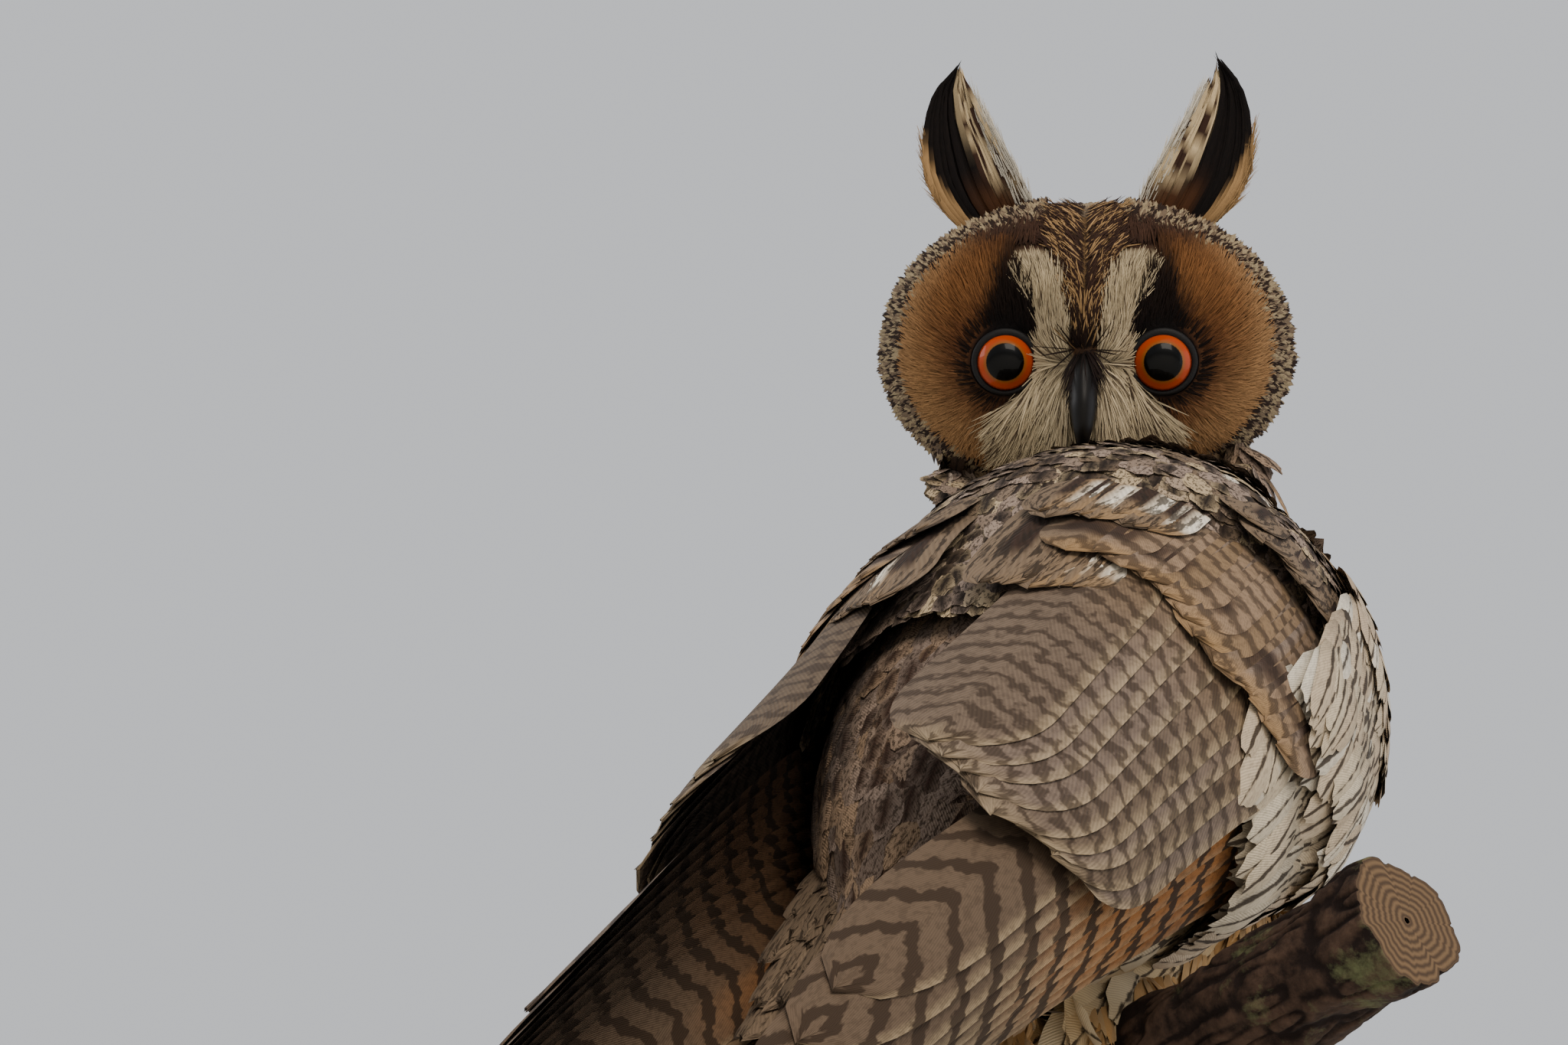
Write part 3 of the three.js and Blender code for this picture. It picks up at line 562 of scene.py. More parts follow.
def ballForm(centre, axes, radii, across=32, down=20):
    polar = np.linspace(0, math.pi, down + 1)[1:-1]
    compass = np.linspace(0, 2 * math.pi, across, endpoint=False)
    a = np.sin(polar)[:, None] * np.cos(compass) * radii[0]
    b = np.sin(polar)[:, None] * np.sin(compass) * radii[1]
    c = np.repeat(np.cos(polar)[:, None], across, 1) * radii[2]
    return loft(centre + a[..., None] * axes[0] + b[..., None] * axes[1] + c[..., None] * axes[2])


feet = {
    "spread": 21,
    "toe": 4.3,
    "toes": {  # how far each stands aside, and from where to where it reaches round the branch, in degrees
        "inner": (-5.6, 8, 96), "middle": (5.2, 8, 104), "outer": (6.4, -8, -92), "hind": (-4.8, -8, -84),
    },
}


def toeLine(side, toe, steps=12):
    offset, start, end = feet["toes"][toe]
    share = np.linspace(0, 1, steps)
    t = side * feet["spread"] + offset * (0.45 + 0.75 * share)
    return perchPoint(t, (start + (end - start) * share) * degree, feet["toe"] + 0.4), share


def legForms(side):
    ankle = perchPoint(side * feet["spread"], 0, 5)
    hip = bodyCentre - forward * 4 - dorsal * 34 + rightward * side * 21
    forms = [ballForm(hip, (np.array([1.0, 0, 0]), forward, dorsal), (13, 21, 21))]
    share = np.linspace(0, 1, 8)
    radii = np.interp(share, [0, 0.5, 1], [11, 9, 7]) - skinDepth["leg"] + 1
    forms.append(limbForm(hip + (ankle - hip) * share[:, None], radii))
    pad = perchPoint(side * feet["spread"], 0, 4)
    forms.append(ballForm(pad, (perchAxis, perchFore, perchUp), (9.2, 9.2, 5.8)))
    for toe in feet["toes"]:
        line, share = toeLine(side, toe)
        forms.append(limbForm(line, feet["toe"] * (1.1 - 0.3 * share) - skinDepth["toe"]))
    return forms


def joinForms(forms):
    points, quads, count = [], [], 0
    for somePoints, someQuads in forms:
        points.append(somePoints)
        quads.append(someQuads + count)
        count += len(somePoints)
    return np.concatenate(points), np.concatenate(quads)


def readMesh(mesh):
    points = np.empty(len(mesh.vertices) * 3, np.float32)
    mesh.vertices.foreach_get("co", points)
    normals = np.empty(len(mesh.vertices) * 3, np.float32)
    mesh.vertex_normals.foreach_get("vector", normals)
    mesh.calc_loop_triangles()
    triangles = np.empty(len(mesh.loop_triangles) * 3, np.int32)
    mesh.loop_triangles.foreach_get("vertices", triangles)
    return points.reshape(-1, 3) / mm, normals.reshape(-1, 3).astype(float), triangles.reshape(-1, 3)


def growSkin():
    forms = [torsoForm(-skinDepth["torso"]), neckForm(-skinDepth["neck"]), headForm(-skinDepth["head"])]
    for side in (1, -1):
        forms.append(slabForm(side, (68, 14), -34, 48, -6, armTop))
        forms += legForms(side)
    points, quads = joinForms(forms)
    mesh = bpy.data.meshes.new("forms")
    mesh.from_pydata((points * mm).tolist(), [], quads.tolist())
    mesh.validate()
    rough = addObject("forms", mesh)
    remesh = rough.modifiers.new("one skin", "REMESH")
    remesh.mode = "VOXEL"
    remesh.voxel_size = skinDepth["voxel"] * mm
    soften = rough.modifiers.new("soften", "SMOOTH")
    soften.factor = 0.6
    soften.iterations = 3
    whole = bpy.data.meshes.new_from_object(rough.evaluated_get(bpy.context.evaluated_depsgraph_get()))
    bpy.data.objects.remove(rough)
    return whole


# Colours of the plumage, painted by place on the bird, the same for skin and coat

palette = {name: linear(colour) for name, colour in {
    "tawny": "#78502E", "deepTawny": "#57361F", "paleTawny": "#9A7650", "umber": "#33221A",
    "black": "#0C0808", "white": "#D2CAB9", "bandWhite": "#B9A888", "cream": "#BBA682", "buff": "#9C7C54",
    # The rusty buff of the underside, made darker as painted shade under the body
    "grey": "#6E5D4B", "paleGrey": "#87766A", "darkGrey": "#43352B", "shadedRust": "#6E3F22", "orange": "#A9713F",
    "legBuff": "#A67C49",
}.items()}

whiteBand = {
    "height": [-32, -25, -20, -15.6, -11, -8, -4, 0, 5.7, 12, 17, 20.5],
    "inner": [2.4, 2.2, 2.1, 1.8, 1.9, 2.2, 2.8, 3.6, 4.3, 5.0, 5.4, 7.0],
    "outer": [13, 15.5, 17, 17, 12.6, 11, 10.1, 10.3, 11.6, 14.8, 17.4, 16.4],
}


discRim = {"half": 44.5, "above": 32.5, "below": 33, "middle": -3}


def discReach(x, y):
    # 1 at the rim of the facial disc
    height = np.where(y > discRim["middle"], discRim["above"], discRim["below"])
    return np.hypot(np.abs(x) / discRim["half"], (y - discRim["middle"]) / height)


def bandEdges(y):
    return [np.interp(y, whiteBand["height"], whiteBand[edge]) for edge in ("inner", "outer")]


def faceTone(x, y):
    side = np.abs(x)
    fromEye = np.hypot(side - eyes["spacing"] / 2, y + eyes["drop"])
    outer = discReach(x, y)
    tone = blendTo(palette["deepTawny"], palette["tawny"], ease(fromEye + 0.25 * y, 8, 17))
    tone = blendTo(tone, palette["paleTawny"], 0.85 * ease(outer - 0.006 * y, 0.62, 0.92))
    tone = blendTo(tone, palette["deepTawny"] * 0.8, 0.75 * ease(y, 8, 20) * (1 - ease(side, 22, 34)))
    inner, edge = bandEdges(y)
    tone = blendTo(tone, palette["umber"], 0.9 * ease(y, 15, 22) * (1 - ease(side, 20, 33)))
    wedgeEdge = np.interp(y, [-8, -2, 4, 10, 16, 21], [24.5, 25, 22.5, 20, 19, 18.5])
    wedge = ease(side, edge - 1, edge + 0.5) * (1 - ease(side, wedgeEdge - 2.5, wedgeEdge + 1.5))
    wedge *= ease(y, -9, -6)
    tone = blendTo(tone, palette["black"], 0.97 * wedge * (1 - 0.8 * ease(y, 8, 23)))
    tone = blendTo(tone, palette["black"], 1 - ease(fromEye, 7.9, 9.6))
    lowEdge = np.where(y < -12, 3.5, 0.8)
    band = ease(side, inner - 0.7, inner + 0.7) * (1 - ease(side, edge - lowEdge, edge + lowEdge * 0.4))
    tone = blendTo(tone, palette["bandWhite"], band * (1 - ease(y, 18.5, 20.5)) * ease(fromEye, 7.8, 8.8))
    stripe = 1 - ease(side, inner - 1.2, inner + 0.2)
    middle = blendTo(palette["buff"], palette["umber"], 0.55 + 0.4 * (1 - ease(y, -4, 10)))
    tone = blendTo(tone, middle, stripe * ease(y, -9, -6))
    return blendTo(tone, palette["black"], stripe * (1 - ease(y, -9, -5)))


def bodyTone(s, angle, speckle):
    # speckle is a random number of each feather, so that neighbours differ as real ones do
    tone = blendTo(palette["buff"], palette["cream"], ease(speckle, 0.2, 0.8) * (1 - ease(s, 45, 80) * 0.4))
    tone = blendTo(tone, palette["white"], ease(speckle, 0.72, 0.8) * (1 - ease(angle, -20, 10)))
    tone = blendTo(tone, palette["cream"], 0.75 * (1 - ease(s, -30, 20)) * (1 - ease(angle, -40, -10)))
    # Rusty brown along the middle of the underside near the legs: partly the feathers' own rusty buff, partly
    # painted shade under the body
    shadedRustShare = 0.5 * (1 - ease(np.abs(s - 5), 22, 48)) * (1 - ease(angle, -80, -62))
    tone = blendTo(tone, palette["shadedRust"], shadedRustShare)
    back = blendTo(palette["paleGrey"], palette["buff"], 0.45 * ease(speckle, 0.3, 0.9))
    back = blendTo(back, palette["darkGrey"], 0.5 * (1 - ease(speckle, 0.1, 0.3)))
    return blendTo(tone, back, ease(angle, -8, 14))


def headTone(x, y, z, speckle):
    tone = blendTo(palette["paleGrey"], palette["darkGrey"], ease(speckle, 0.45, 0.8))
    tone = blendTo(tone, palette["buff"], 0.6 * (1 - ease(speckle, 0.12, 0.3)))
    dusky = 0.55 * ease(z, 4, 14) * ease(y, 20, 26) * (1 - ease(np.abs(x), 24, 32))
    return blendTo(tone, palette["umber"], dusky)


def regions(points):
    # Which part of the coat each point of the skin belongs to
    x, y, z = headFrame(points)
    length = np.sqrt(x * x + y * y + z * z)
    onHead = length < headReach(x / length, y / length, z / length) + 0.6
    onFace = onHead & (z > 6) & (discReach(x, y) < 0.95)
    rel = points - bodyCentre
    s, angle, across = bodyPlace(points)
    half, back, belly, rise = torsoSection(np.clip(s, -104, 88))
    over = rel @ dorsal - rise
    outside = np.hypot(across / half, over / np.where(over > 0, back, belly))
    onArm = (outside > 1.005) & (s > 12) & (s < 79) & (angle > -42) & (angle < 55) & ~onHead
    fromPerch = points - perchCentre(points @ perchAxis)
    fromPerch -= (fromPerch @ perchAxis)[:, None] * perchAxis
    onFoot = (np.linalg.norm(fromPerch, axis=1) < perch["radius"] + 12) & (outside > 1.0)
    onLeg = (outside > 0.985) & (points[:, 2] < 172) & (s < 30) & ~onArm & ~onFoot & ~onHead & (angle < -30)
    onTorso = ~onHead & ~onArm & ~onFoot & ~onLeg & (outside < 1.0)
    onNeck = ~onHead & ~onArm & ~onFoot & ~onLeg & ~onTorso
    return {"face": onFace, "head": onHead & ~onFace, "neck": onNeck, "torso": onTorso,
            "arm": onArm, "leg": onLeg, "foot": onFoot}


def skinTones(points):
    which = regions(points)
    x, y, z = headFrame(points)
    s, angle, _ = bodyPlace(points)
    half = np.full(len(points), 0.5)
    tone = bodyTone(s, angle, half)
    tone[which["head"]] = headTone(x, y, z, half)[which["head"]]
    tone[which["face"]] = faceTone(x, y)[which["face"]]
    tone[which["leg"] | which["foot"]] = palette["legBuff"]
    tone[which["arm"]] = palette["grey"]
    return tone * 0.75


# Skin material: down under the coat, dull and a little darker than the feather tips
def skinMaterial():
    material, tree, shader = newMaterial("down_and_skin", {"Roughness": 0.9, "Specular IOR Level": 0.15})
    tone = addNode(tree, "Attribute", {"attribute_name": "tone"})["Color"]
    spot = addNode(tree, "TexCoord")["Object"]
    # Tufts of down about a millimetre wide
    down = addNode(tree, "TexNoise", {}, {"Vector": spot, "Scale": 900.0, "Detail": 4.0})[0]
    shade = addNode(tree, "MapRange", {}, {"Value": down, "To Min": 0.55, "To Max": 1.1})[0]
    final = addNode(tree, "VectorMath", {"operation": "SCALE"}, {0: tone, "Scale": shade})[0]
    tree.links.new(final, shader.inputs["Base Color"])
    relief = addNode(tree, "Bump", {}, {"Strength": 0.5, "Distance": 0.0006, "Height": down})[0]
    tree.links.new(relief, shader.inputs["Normal"])
    return material


fleshNodes = ["torso", "neck", "head", "leg_right", "leg_left", "foot_right", "foot_left",
              "wing_arm_right", "wing_arm_left"]


def addSkin():
    whole = growSkin()
    points, normals, triangles = readMesh(whole)
    bpy.data.meshes.remove(whole)
    tones = np.concatenate([skinTones(points), np.ones((len(points), 1))], 1)
    addPiece("skin", points, triangles, skinMaterial(), fleshNodes,
             skinUnwrap(points), {"tone": tones})
    print("skin", len(triangles), "triangles")
    return points, normals, triangles


def scatter(skin, region, spacing, richness=9):
    # Roots spread over a region of the skin, at most one in each cell of the spacing
    points, normals, triangles = skin
    pick = triangles[regions(points[triangles].mean(1))[region]]
    a, b, c = points[pick[:, 0]], points[pick[:, 1]], points[pick[:, 2]]
    area = np.linalg.norm(np.cross(b - a, c - a), axis=1) / 2
    count = int(area.sum() / spacing ** 2 * richness)
    chosen = rng.choice(len(pick), count, p=area / area.sum())
    r1 = np.sqrt(rng.random((count, 1)))
    r2 = rng.random((count, 1))
    weights = np.concatenate([1 - r1, r1 * (1 - r2), r1 * r2], 1)
    corners = pick[chosen]
    roots = np.einsum("nk,nkj->nj", weights, points[corners])
    ups = unit(np.einsum("nk,nkj->nj", weights, normals[corners]))
    cells = np.floor(roots / (spacing * 0.92)).astype(np.int64)
    key = cells[:, 0] * 73856093 ^ cells[:, 1] * 19349663 ^ cells[:, 2] * 83492791
    _, first = np.unique(key, return_index=True)
    order = np.sort(first)
    return roots[order], ups[order]


def along(ups, direction):
    # The part of a direction that lies in the surface
    return unit(direction - dot(direction, ups)[:, None] * ups)


def swing(lies, ups, spread):
    # Each lie turned a little about its root, as ruffled plumage is
    angle = rng.normal(0, spread, len(lies))[:, None]
    return unit(lies * np.cos(angle) + np.cross(ups, lies) * np.sin(angle))


def blotched(tone, rows, columns, chosen, colour, low=0.35, high=0.85, width=0.55):
    # Each chosen feather gets a dark blotch round its shaft, short of the tip
    u = np.linspace(0, 1, rows)[None, :, None]
    v = np.linspace(-1, 1, columns)[None, None, :]
    inside = ease(u, low - 0.12, low + 0.06) * (1 - ease(u, high - 0.06, high + 0.12))
    share = chosen[:, None, None] * inside * (1 - ease(np.abs(v), width - 0.2, width + 0.3))
    return blendTo(np.broadcast_to(tone[:, None, None], (len(tone), rows, columns, 3)), colour, share)


def mottledTones(count, look):
    # Grey-brown and buff feathers of the back, most of them with a dark blotch
    speckle = rng.random(count)
    tone = blendTo(palette["grey"], palette["paleGrey"] * 1.15, ease(speckle, 0.1, 0.5))
    tone = blendTo(tone, palette["cream"] * 0.95, 0.8 * ease(speckle, 0.6, 0.85))
    return blotched(tone, look["rows"], look["columns"], rng.random(count) < 0.55, palette["umber"] * 0.25,
                    high=1.0, width=0.48)


def whiteSpots(tones, chosen):
    _, rows, columns, _ = tones.shape
    return blotched(tones[:, 0, 0], rows, columns, chosen, palette["white"] * 1.1, 0.5, 0.88, 0.8)


coat = {
    "spacing": 3.7, "length": (15, 21), "half": (4.0, 5.4), "lift": 0.2, "tilt": (0.10, 0.2), "hug": 46,
    "rows": 5, "columns": 5, "fray": 0.22, "roundTip": 0.55,
}
breastward = unit(0.74 * forward - 0.67 * dorsal)


def addBodyCoat(skin):
    roots, ups = scatter(skin, "torso", coat["spacing"])
    s, angle, _ = bodyPlace(roots)
    shown = ~((np.abs(angle) < 46) & (s > 10) & (s < 64))
    roots, ups, s, angle = roots[shown], ups[shown], s[shown], angle[shown]
    count = len(roots)
    speckle = rng.random(count)
    angle = np.where((s > 56) & (ups @ breastward > 0.25), np.minimum(angle, -20), angle)
    vent = ease(ups @ -forward, 0.5, 0.85)
    fromThroat = 1.6 * ease(s, 46, 82) * (1 - ease(angle, 5, 40)) + vent
    lies = swing(along(ups, -forward - fromThroat[:, None] * dorsal), ups, 0.09)
    wider = (1 - 0.4 * ease(s, 45, 80)) * (1 - 0.45 * ease(-s, 60, 95))
    shapes = layFeathers(coat, roots, ups, lies, 1 - 0.3 * ease(s, 50, 85), wider)
    front = 1 - ease(angle, -12, 8)
    streak = np.where(front > 0.5, 0.03 + 0.13 * ease(s, -20, 60) * rng.uniform(0.3, 1.3, count), -0.1)
    arrows = np.where((front > 0.5) & (s < 45) & (rng.random(count) < 0.2), rng.uniform(1.4, 2.2, count), 0)
    mottle = np.where(front > 0.5, 0.35 * ease(s, -10, 60), 0.9)
    calm = bodyTone(s, angle, speckle * (1 - 0.2 * ease(s, 20, 60)))
    dark = (front < 0.5) * (rng.random(count) < 0.4)
    tones = blotched(calm, coat["rows"], coat["columns"], dark, palette["umber"], width=0.4)
    marks = np.stack([streak, arrows, mottle], 1)
    addVanes("body_feathers", shapes, tones, marks, bodyPlumage)
    print("body coat", count)


neckCoat = {
    "spacing": 3.0, "length": (13, 19), "half": (2.8, 4), "lift": 0.2, "tilt": (0.12, 0.3), "hug": 40,
    "rows": 6, "columns": 5, "fray": 0.25, "roundTip": 0.5,
}


def addNeckCoat(skin):
    roots, ups = scatter(skin, "neck", neckCoat["spacing"])
    count = len(roots)
    down = bodyCentre + forward * 30 - headCentre
    lies = swing(along(ups, np.broadcast_to(unit(down), roots.shape)), ups, 0.12)
    x, y, z = headFrame(roots)
    speckle = rng.random(count)
    front = ease(ups @ breastward, -0.1, 0.7)
    breast = bodyTone(np.full(count, 70.0), np.full(count, -30.0), speckle * 0.8)
    tone = blendTo(headTone(x, y, z, speckle), breast, 0.1 + 0.75 * front * (1 - ease(y, -40, -22)))
    shapes = layFeathers(neckCoat, roots, ups, lies)
    marks = np.stack([rng.uniform(0.0, 0.2, count), np.zeros(count), rng.uniform(0.4, 1, count)], 1)
    addVanes("neck_feathers", shapes, tone, marks, backPlumage)
    print("neck coat", count)


crown = {
    "spacing": 1.9, "length": (6, 9), "half": (1.5, 2.2), "lift": 0.1, "tilt": (0.14, 0.3), "hug": 38,
    "rows": 4, "columns": 3, "fray": 0.3, "roundTip": 0.5,
}


def addCrown(skin):
    roots, ups = scatter(skin, "head", crown["spacing"])
    x, y, z = headFrame(roots)
    count = len(roots)
    low = ease(-y, 12, 28)
    away = onHeadAxes(x * 0.35, y * 0.35 - 12 * ease(-z, 0, 30) - 60 * low, -30.0)
    lies = swing(along(ups, away), ups, 0.18)
    small = 1 - 0.35 * ease(z, -6, 10)
    # Those round the rim lie close, as their dark under sides would show from behind
    close = ease(discReach(x, y), 0.65, 0.95) * (1 - low)
    shapes = layFeathers(crown, roots, ups, lies, small * (1 + 0.9 * low), small * (1 + 0.4 * low),
                         (1 + low) * (1 - 0.75 * close), (crown["hug"] + 45 * close)[:, None])
    speckle = rng.random(count)
    tone = headTone(x, y, z, speckle)
    rim = ease(discReach(x, y), 0.9, 1.0) * (1 - ease(discReach(x, y), 1.1, 1.25)) * ease(z, -4, 8)
    flecked = np.where((speckle > 0.55)[:, None], palette["umber"], palette["cream"] * 0.7)
    tone = blendTo(tone, flecked, 0.6 * rim)
    marks = np.stack([np.where(speckle > 0.5, 0.1, -0.2), np.zeros(count), rng.uniform(0.3, 0.9, count)], 1)
    addVanes("crown_feathers", shapes, tone, marks, backPlumage)
    print("crown", count)


cheek = {
    "count": 900, "compass": (-0.42, 0.1), "reach": (1.02, 1.07), "length": (9, 13), "half": (1.4, 2.1),
    "lift": 0.0, "tilt": (0.0, 0.06), "hug": 60, "rows": 4, "columns": 3, "fray": 0.3, "roundTip": 0.5,
}


def addCheeks():
    # Feathers behind the lower sides of the ruff, which close it off toward the neck
    count = cheek["count"]
    compass = rng.uniform(*cheek["compass"], count) * math.pi
    reach = rng.uniform(*cheek["reach"], count)
    x = discRim["half"] * reach * np.cos(compass) * rng.choice([-1, 1], count)
    y = discRim["below"] * reach * np.sin(compass) + discRim["middle"]
    z = rng.uniform(2, 8, count)
    radial = unit(onHeadAxes(x, y))
    ups = unit(radial - 0.3 * faceOut)
    lies = swing(unit(-0.3 * radial - faceOut), ups, 0.15)
    shapes = layFeathers(cheek, headPlace(x, y, z), ups, lies)
    tone = headTone(x, y, np.zeros(count), rng.random(count))
    addVanes("cheek_feathers", shapes, tone, (-0.2, 0, 0.7), backPlumage)
    print("cheeks", count)


def faceRoots(count, left, right, low, high):
    # Random places on the front of the face, on the skin that lies just under it
    x = rng.uniform(left, right, count) * rng.choice([-1, 1], count)
    y = rng.uniform(low, high, count)
    z = faceSurface(x, y) - skinDepth["head"]
    return x, y, z


def faceUps(x, y):
    step = 0.4
    slopeX = (faceSurface(x + step, y) - faceSurface(x - step, y)) / (2 * step)
    slopeY = (faceSurface(x, y + step) - faceSurface(x, y - step)) / (2 * step)
    return unit(-slopeX[:, None] * faceLeft - slopeY[:, None] * faceUp + faceOut)


def onHeadAxes(x, y, z=0.0):
    return x[:, None] * faceLeft + y[:, None] * faceUp + z * faceOut


disc = {  # barbs 0.4 mm wide, where a real one is about 0.1 mm, so that they show
    "barbs": 17000, "width": 0.19, "length": (7, 11), "half": (0.8, 1.3), "lift": 0.1, "tilt": (0.12, 0.3),
    "hug": 26, "rows": 5, "taper": 0.6, "columns": 2, "fray": 0.0, "roundTip": 0.5,
}


def addDisc():
    # Open, hair-like barbs that radiate from each eye out to the rim
    x, y, z = faceRoots(disc["barbs"] * 2, 0, 46, -32, 30)
    side = np.abs(x)
    fromEye = np.hypot(side - eyes["spacing"] / 2, y + eyes["drop"])
    inner, edge = bandEdges(y)
    keep = (fromEye > 7.9) & (discReach(x, y) < 0.94) & ((side > edge + 0.3) | (y > 21)) & (side > inner)
    x, y, z, side, fromEye = [values[keep] for values in (x, y, z, side, fromEye)]
    ups = faceUps(x, y)
    beside = side - eyes["spacing"] / 2 + 1.5
    away = onHeadAxes(np.sign(x) * np.where(beside < 0, 0.3 * beside, beside), y + eyes["drop"] + 0.15 * side)
    lies = swing(along(ups, away), ups, 0.12)
    longer = (0.55 + 0.45 * ease(fromEye, 8, 16)) * (1 - 0.5 * ease(discReach(x, y), 0.62, 0.9))
    shapes = layFeathers(disc, headPlace(x, y, z), ups, lies, longer, disc["width"])
    speckle = rng.uniform(0.72, 1.18, (len(x), 1))
    addVanes("disc_barbs", shapes, faceTone(x, y) * speckle, (-0.3, 0, 0.25), facePlumage,
             patch=0.002)
    print("disc barbs", len(x))


bands = {"bristles": 10500, "half": 0.16, "hug": 24, "rows": 7}


def addBands():
    # The two white bands: they rise from the bill to the brow, and below it fan out as whiskers
    x, y, z = faceRoots(bands["bristles"] * 3, 1.8, 18, -30, 17)
    side = np.abs(x)
    inner, edge = bandEdges(y)
    fromEye = np.hypot(side - eyes["spacing"] / 2, y + eyes["drop"])
    past = edge - ease(y, -10, -4) * (1 - ease(y, 3, 9)) - 2.5 * ease(-y, 13, 20) * rng.random(len(x))
    inBand = (side > inner + 0.1) & (side < past)
    keep = inBand & (fromEye > 8.3) & (y < 13.5 - 0.1 * (side - 10.5) ** 2)
    x, y, z, side = [values[keep][:bands["bristles"]] for values in (x, y, z, side)]
    count = len(x)
    ups = faceUps(x, y)
    rising = ease(y, -9, -3)
    spreadOut = np.sign(x) * (0.04 + (0.012 + 0.022 * ease(y, 2, 12)) * side)
    lean = onHeadAxes(spreadOut, np.ones(count)) * rising[:, None]
    sweep = onHeadAxes(np.sign(x) * (0.07 * side - 0.15), -np.ones(count)) * (1 - rising)[:, None]
    lies = swing(along(ups, lean + sweep), ups, 0.16)
    length = rng.uniform(6, 9, count) + 4.5 * (1 - rising)
    half = np.full(count, bands["half"]) * rng.uniform(0.8, 1.5, count)
    tilt = rng.uniform(0.1, 0.3, count) + (1 - rising) * (0.12 + 0.4 * (1 - ease(side, 3, 8)))
    laid = layOn(headPlace(x, y, z), ups, lies, length, half, 0.2, tilt, bands["hug"], bands["rows"], 0.75)
    shapes = ribbons(*laid, 2)
    tone = palette["bandWhite"] * rng.uniform(0.62, 1.15, (count, 1))
    dusky = rng.random(count) < 0.12 + 0.1 * ease(side, 7, 14) * (1 - rising)
    tone[dusky] = palette["grey"] * 0.5
    addVanes("white_bands", shapes, tone, (-0.3, 0, 0.1), facePlumage,
             patch=0.002)
    print("white bands", count)


stripe = {"hairs": 3200, "half": 0.2, "hug": 26, "rows": 5}


def addStripe():
    # The speckled stripe between the bands, its hairs parted down the middle, darkest over the bill
    x, y, z = faceRoots(stripe["hairs"] * 2, 0, 7, -24, 30)
    side = np.abs(x)
    inner, _ = bandEdges(y)
    beside = (side < inner + 0.3 - 1.2 * (1 - ease(y, -6, 2))) & (y > -9)
    x, y, z, side = [values[beside][:stripe["hairs"]] for values in (x, y, z, side)]
    count = len(x)
    ups = faceUps(x, y)
    rising = ease(y, -5, -1)
    lean = onHeadAxes(np.sign(x) * (0.03 + 0.72 * ease(y, -2, 12)), np.ones(count)) * rising[:, None]
    sweep = onHeadAxes(0.05 * x, -np.ones(count)) * (1 - rising)[:, None]
    lies = swing(along(ups, lean + sweep), ups, 0.05 + 0.15 * rising)
    length = rng.uniform(4.5, 7.5, count) * (0.6 + 0.4 * ease(y, -6, 4))
    half = np.full(count, stripe["half"]) * rng.uniform(0.7, 1.3, count)
    overBill = (y < -2.5) & (side < 2.8)
    length = np.where(overBill, rng.uniform(5, 8, count), length)
    lift = np.where(overBill, rng.uniform(0.8, 1.5, count), rng.uniform(0.1, 0.3, count))
    pale = (rng.random(count) < 0.3 * ease(y, -7, 6))[:, None]
    tone = np.where(pale, palette["buff"], blendTo(palette["black"], palette["umber"], ease(y, -8, 6)))
    laid = layOn(headPlace(x, y, z), ups, lies, length, half, 0.2, lift, stripe["hug"], stripe["rows"], 0.7)
    shapes = ribbons(*laid, 2)
    addVanes("brow_stripe", shapes, tone * rng.uniform(0.7, 1.1, (count, 1)), (-0.3, 0, 0.1),
             facePlumage, patch=0.002)
    print("brow stripe", count)


ruff = {
    "count": 8500, "length": (2.8, 4.4), "half": (0.32, 0.54), "lift": 0.4, "tilt": (0.08, 0.24), "hug": 16,
    "rows": 4, "columns": 3, "fray": 0.3, "taper": 0.2,
}


def addRuff():
    # Small stiff feathers round the disc, flecked black and white
    compass = rng.uniform(-0.42 * math.pi, 0.5 * math.pi, ruff["count"])
    reach = rng.uniform(0.95, 1.08, ruff["count"]) - 0.01 * (compass > 0)
    height = np.where(compass > 0, discRim["above"], discRim["below"])
    x = discRim["half"] * reach * np.cos(compass) * rng.choice([-1, 1], ruff["count"])
    y = height * reach * np.sin(compass) + discRim["middle"]
    inside = (np.abs(x) > 9) & (np.abs(x) < 48) & (y < 31.5) & (y > -37)
    x, y = x[inside], y[inside]
    z = np.maximum(faceSurface(x, y), 3) - skinDepth["head"]
    count = len(x)
    ups = faceUps(x, y)
    overRim = ease(np.hypot(x / discRim["half"], (y - discRim["middle"]) / discRim["below"]), 0.99, 1.06)
    away = onHeadAxes(x, y * 1.2, -22.0) - 60 * overRim[:, None] * faceOut
    lies = swing(along(ups, away), ups, 0.15)
    half = rng.uniform(*ruff["half"], count)
    length = rng.uniform(*ruff["length"], count)
    tilt = rng.uniform(*ruff["tilt"], count)
    laid = layOn(headPlace(x, y, z), ups, lies, length, half, ruff["lift"], tilt, ruff["hug"], ruff["rows"],
                 ruff["taper"])
    shapes = ribbons(*laid, ruff["columns"], fray=ruff["fray"])
    # Flecks come in small clumps, as each feather is black at its middle and pale at its tip
    clump = np.sin(compass * 71 + 3 * np.sin(reach * 40)) + np.sin(reach * 97 + compass * 23)
    dark = clump + rng.normal(0, 0.7, len(compass)) + 0.9 * bump(reach - 0.97, 0.03) > 0.25
    dark = dark[inside]
    tone = np.where(dark[:, None], palette["umber"] * 0.55, palette["cream"] * 0.62)
    tone = np.where((rng.random(count) > 0.7)[:, None], palette["grey"], tone)
    addVanes("ruff", shapes, tone, (-0.2, 0, 0.6), backPlumage)
    print("ruff", count)


# Ear tufts, traced as two curves up the horn's outer and inner edges, in the head's frame

tuft = {
    "height": [23, 31, 38, 46, 53, 60, 66],
    "outer": [26.5, 34.5, 38.2, 39, 38.4, 36.4, 31.2],
    "inner": [9.5, 12.4, 15.6, 20, 24.4, 28, 30.6],
    "vanes": 52, "layers": 3, "rows": 12, "half": 0.85, "foot": 22, "top": 66.5,
    "hairs": 520, "hairHalf": 0.13, "hairRows": 6,
}


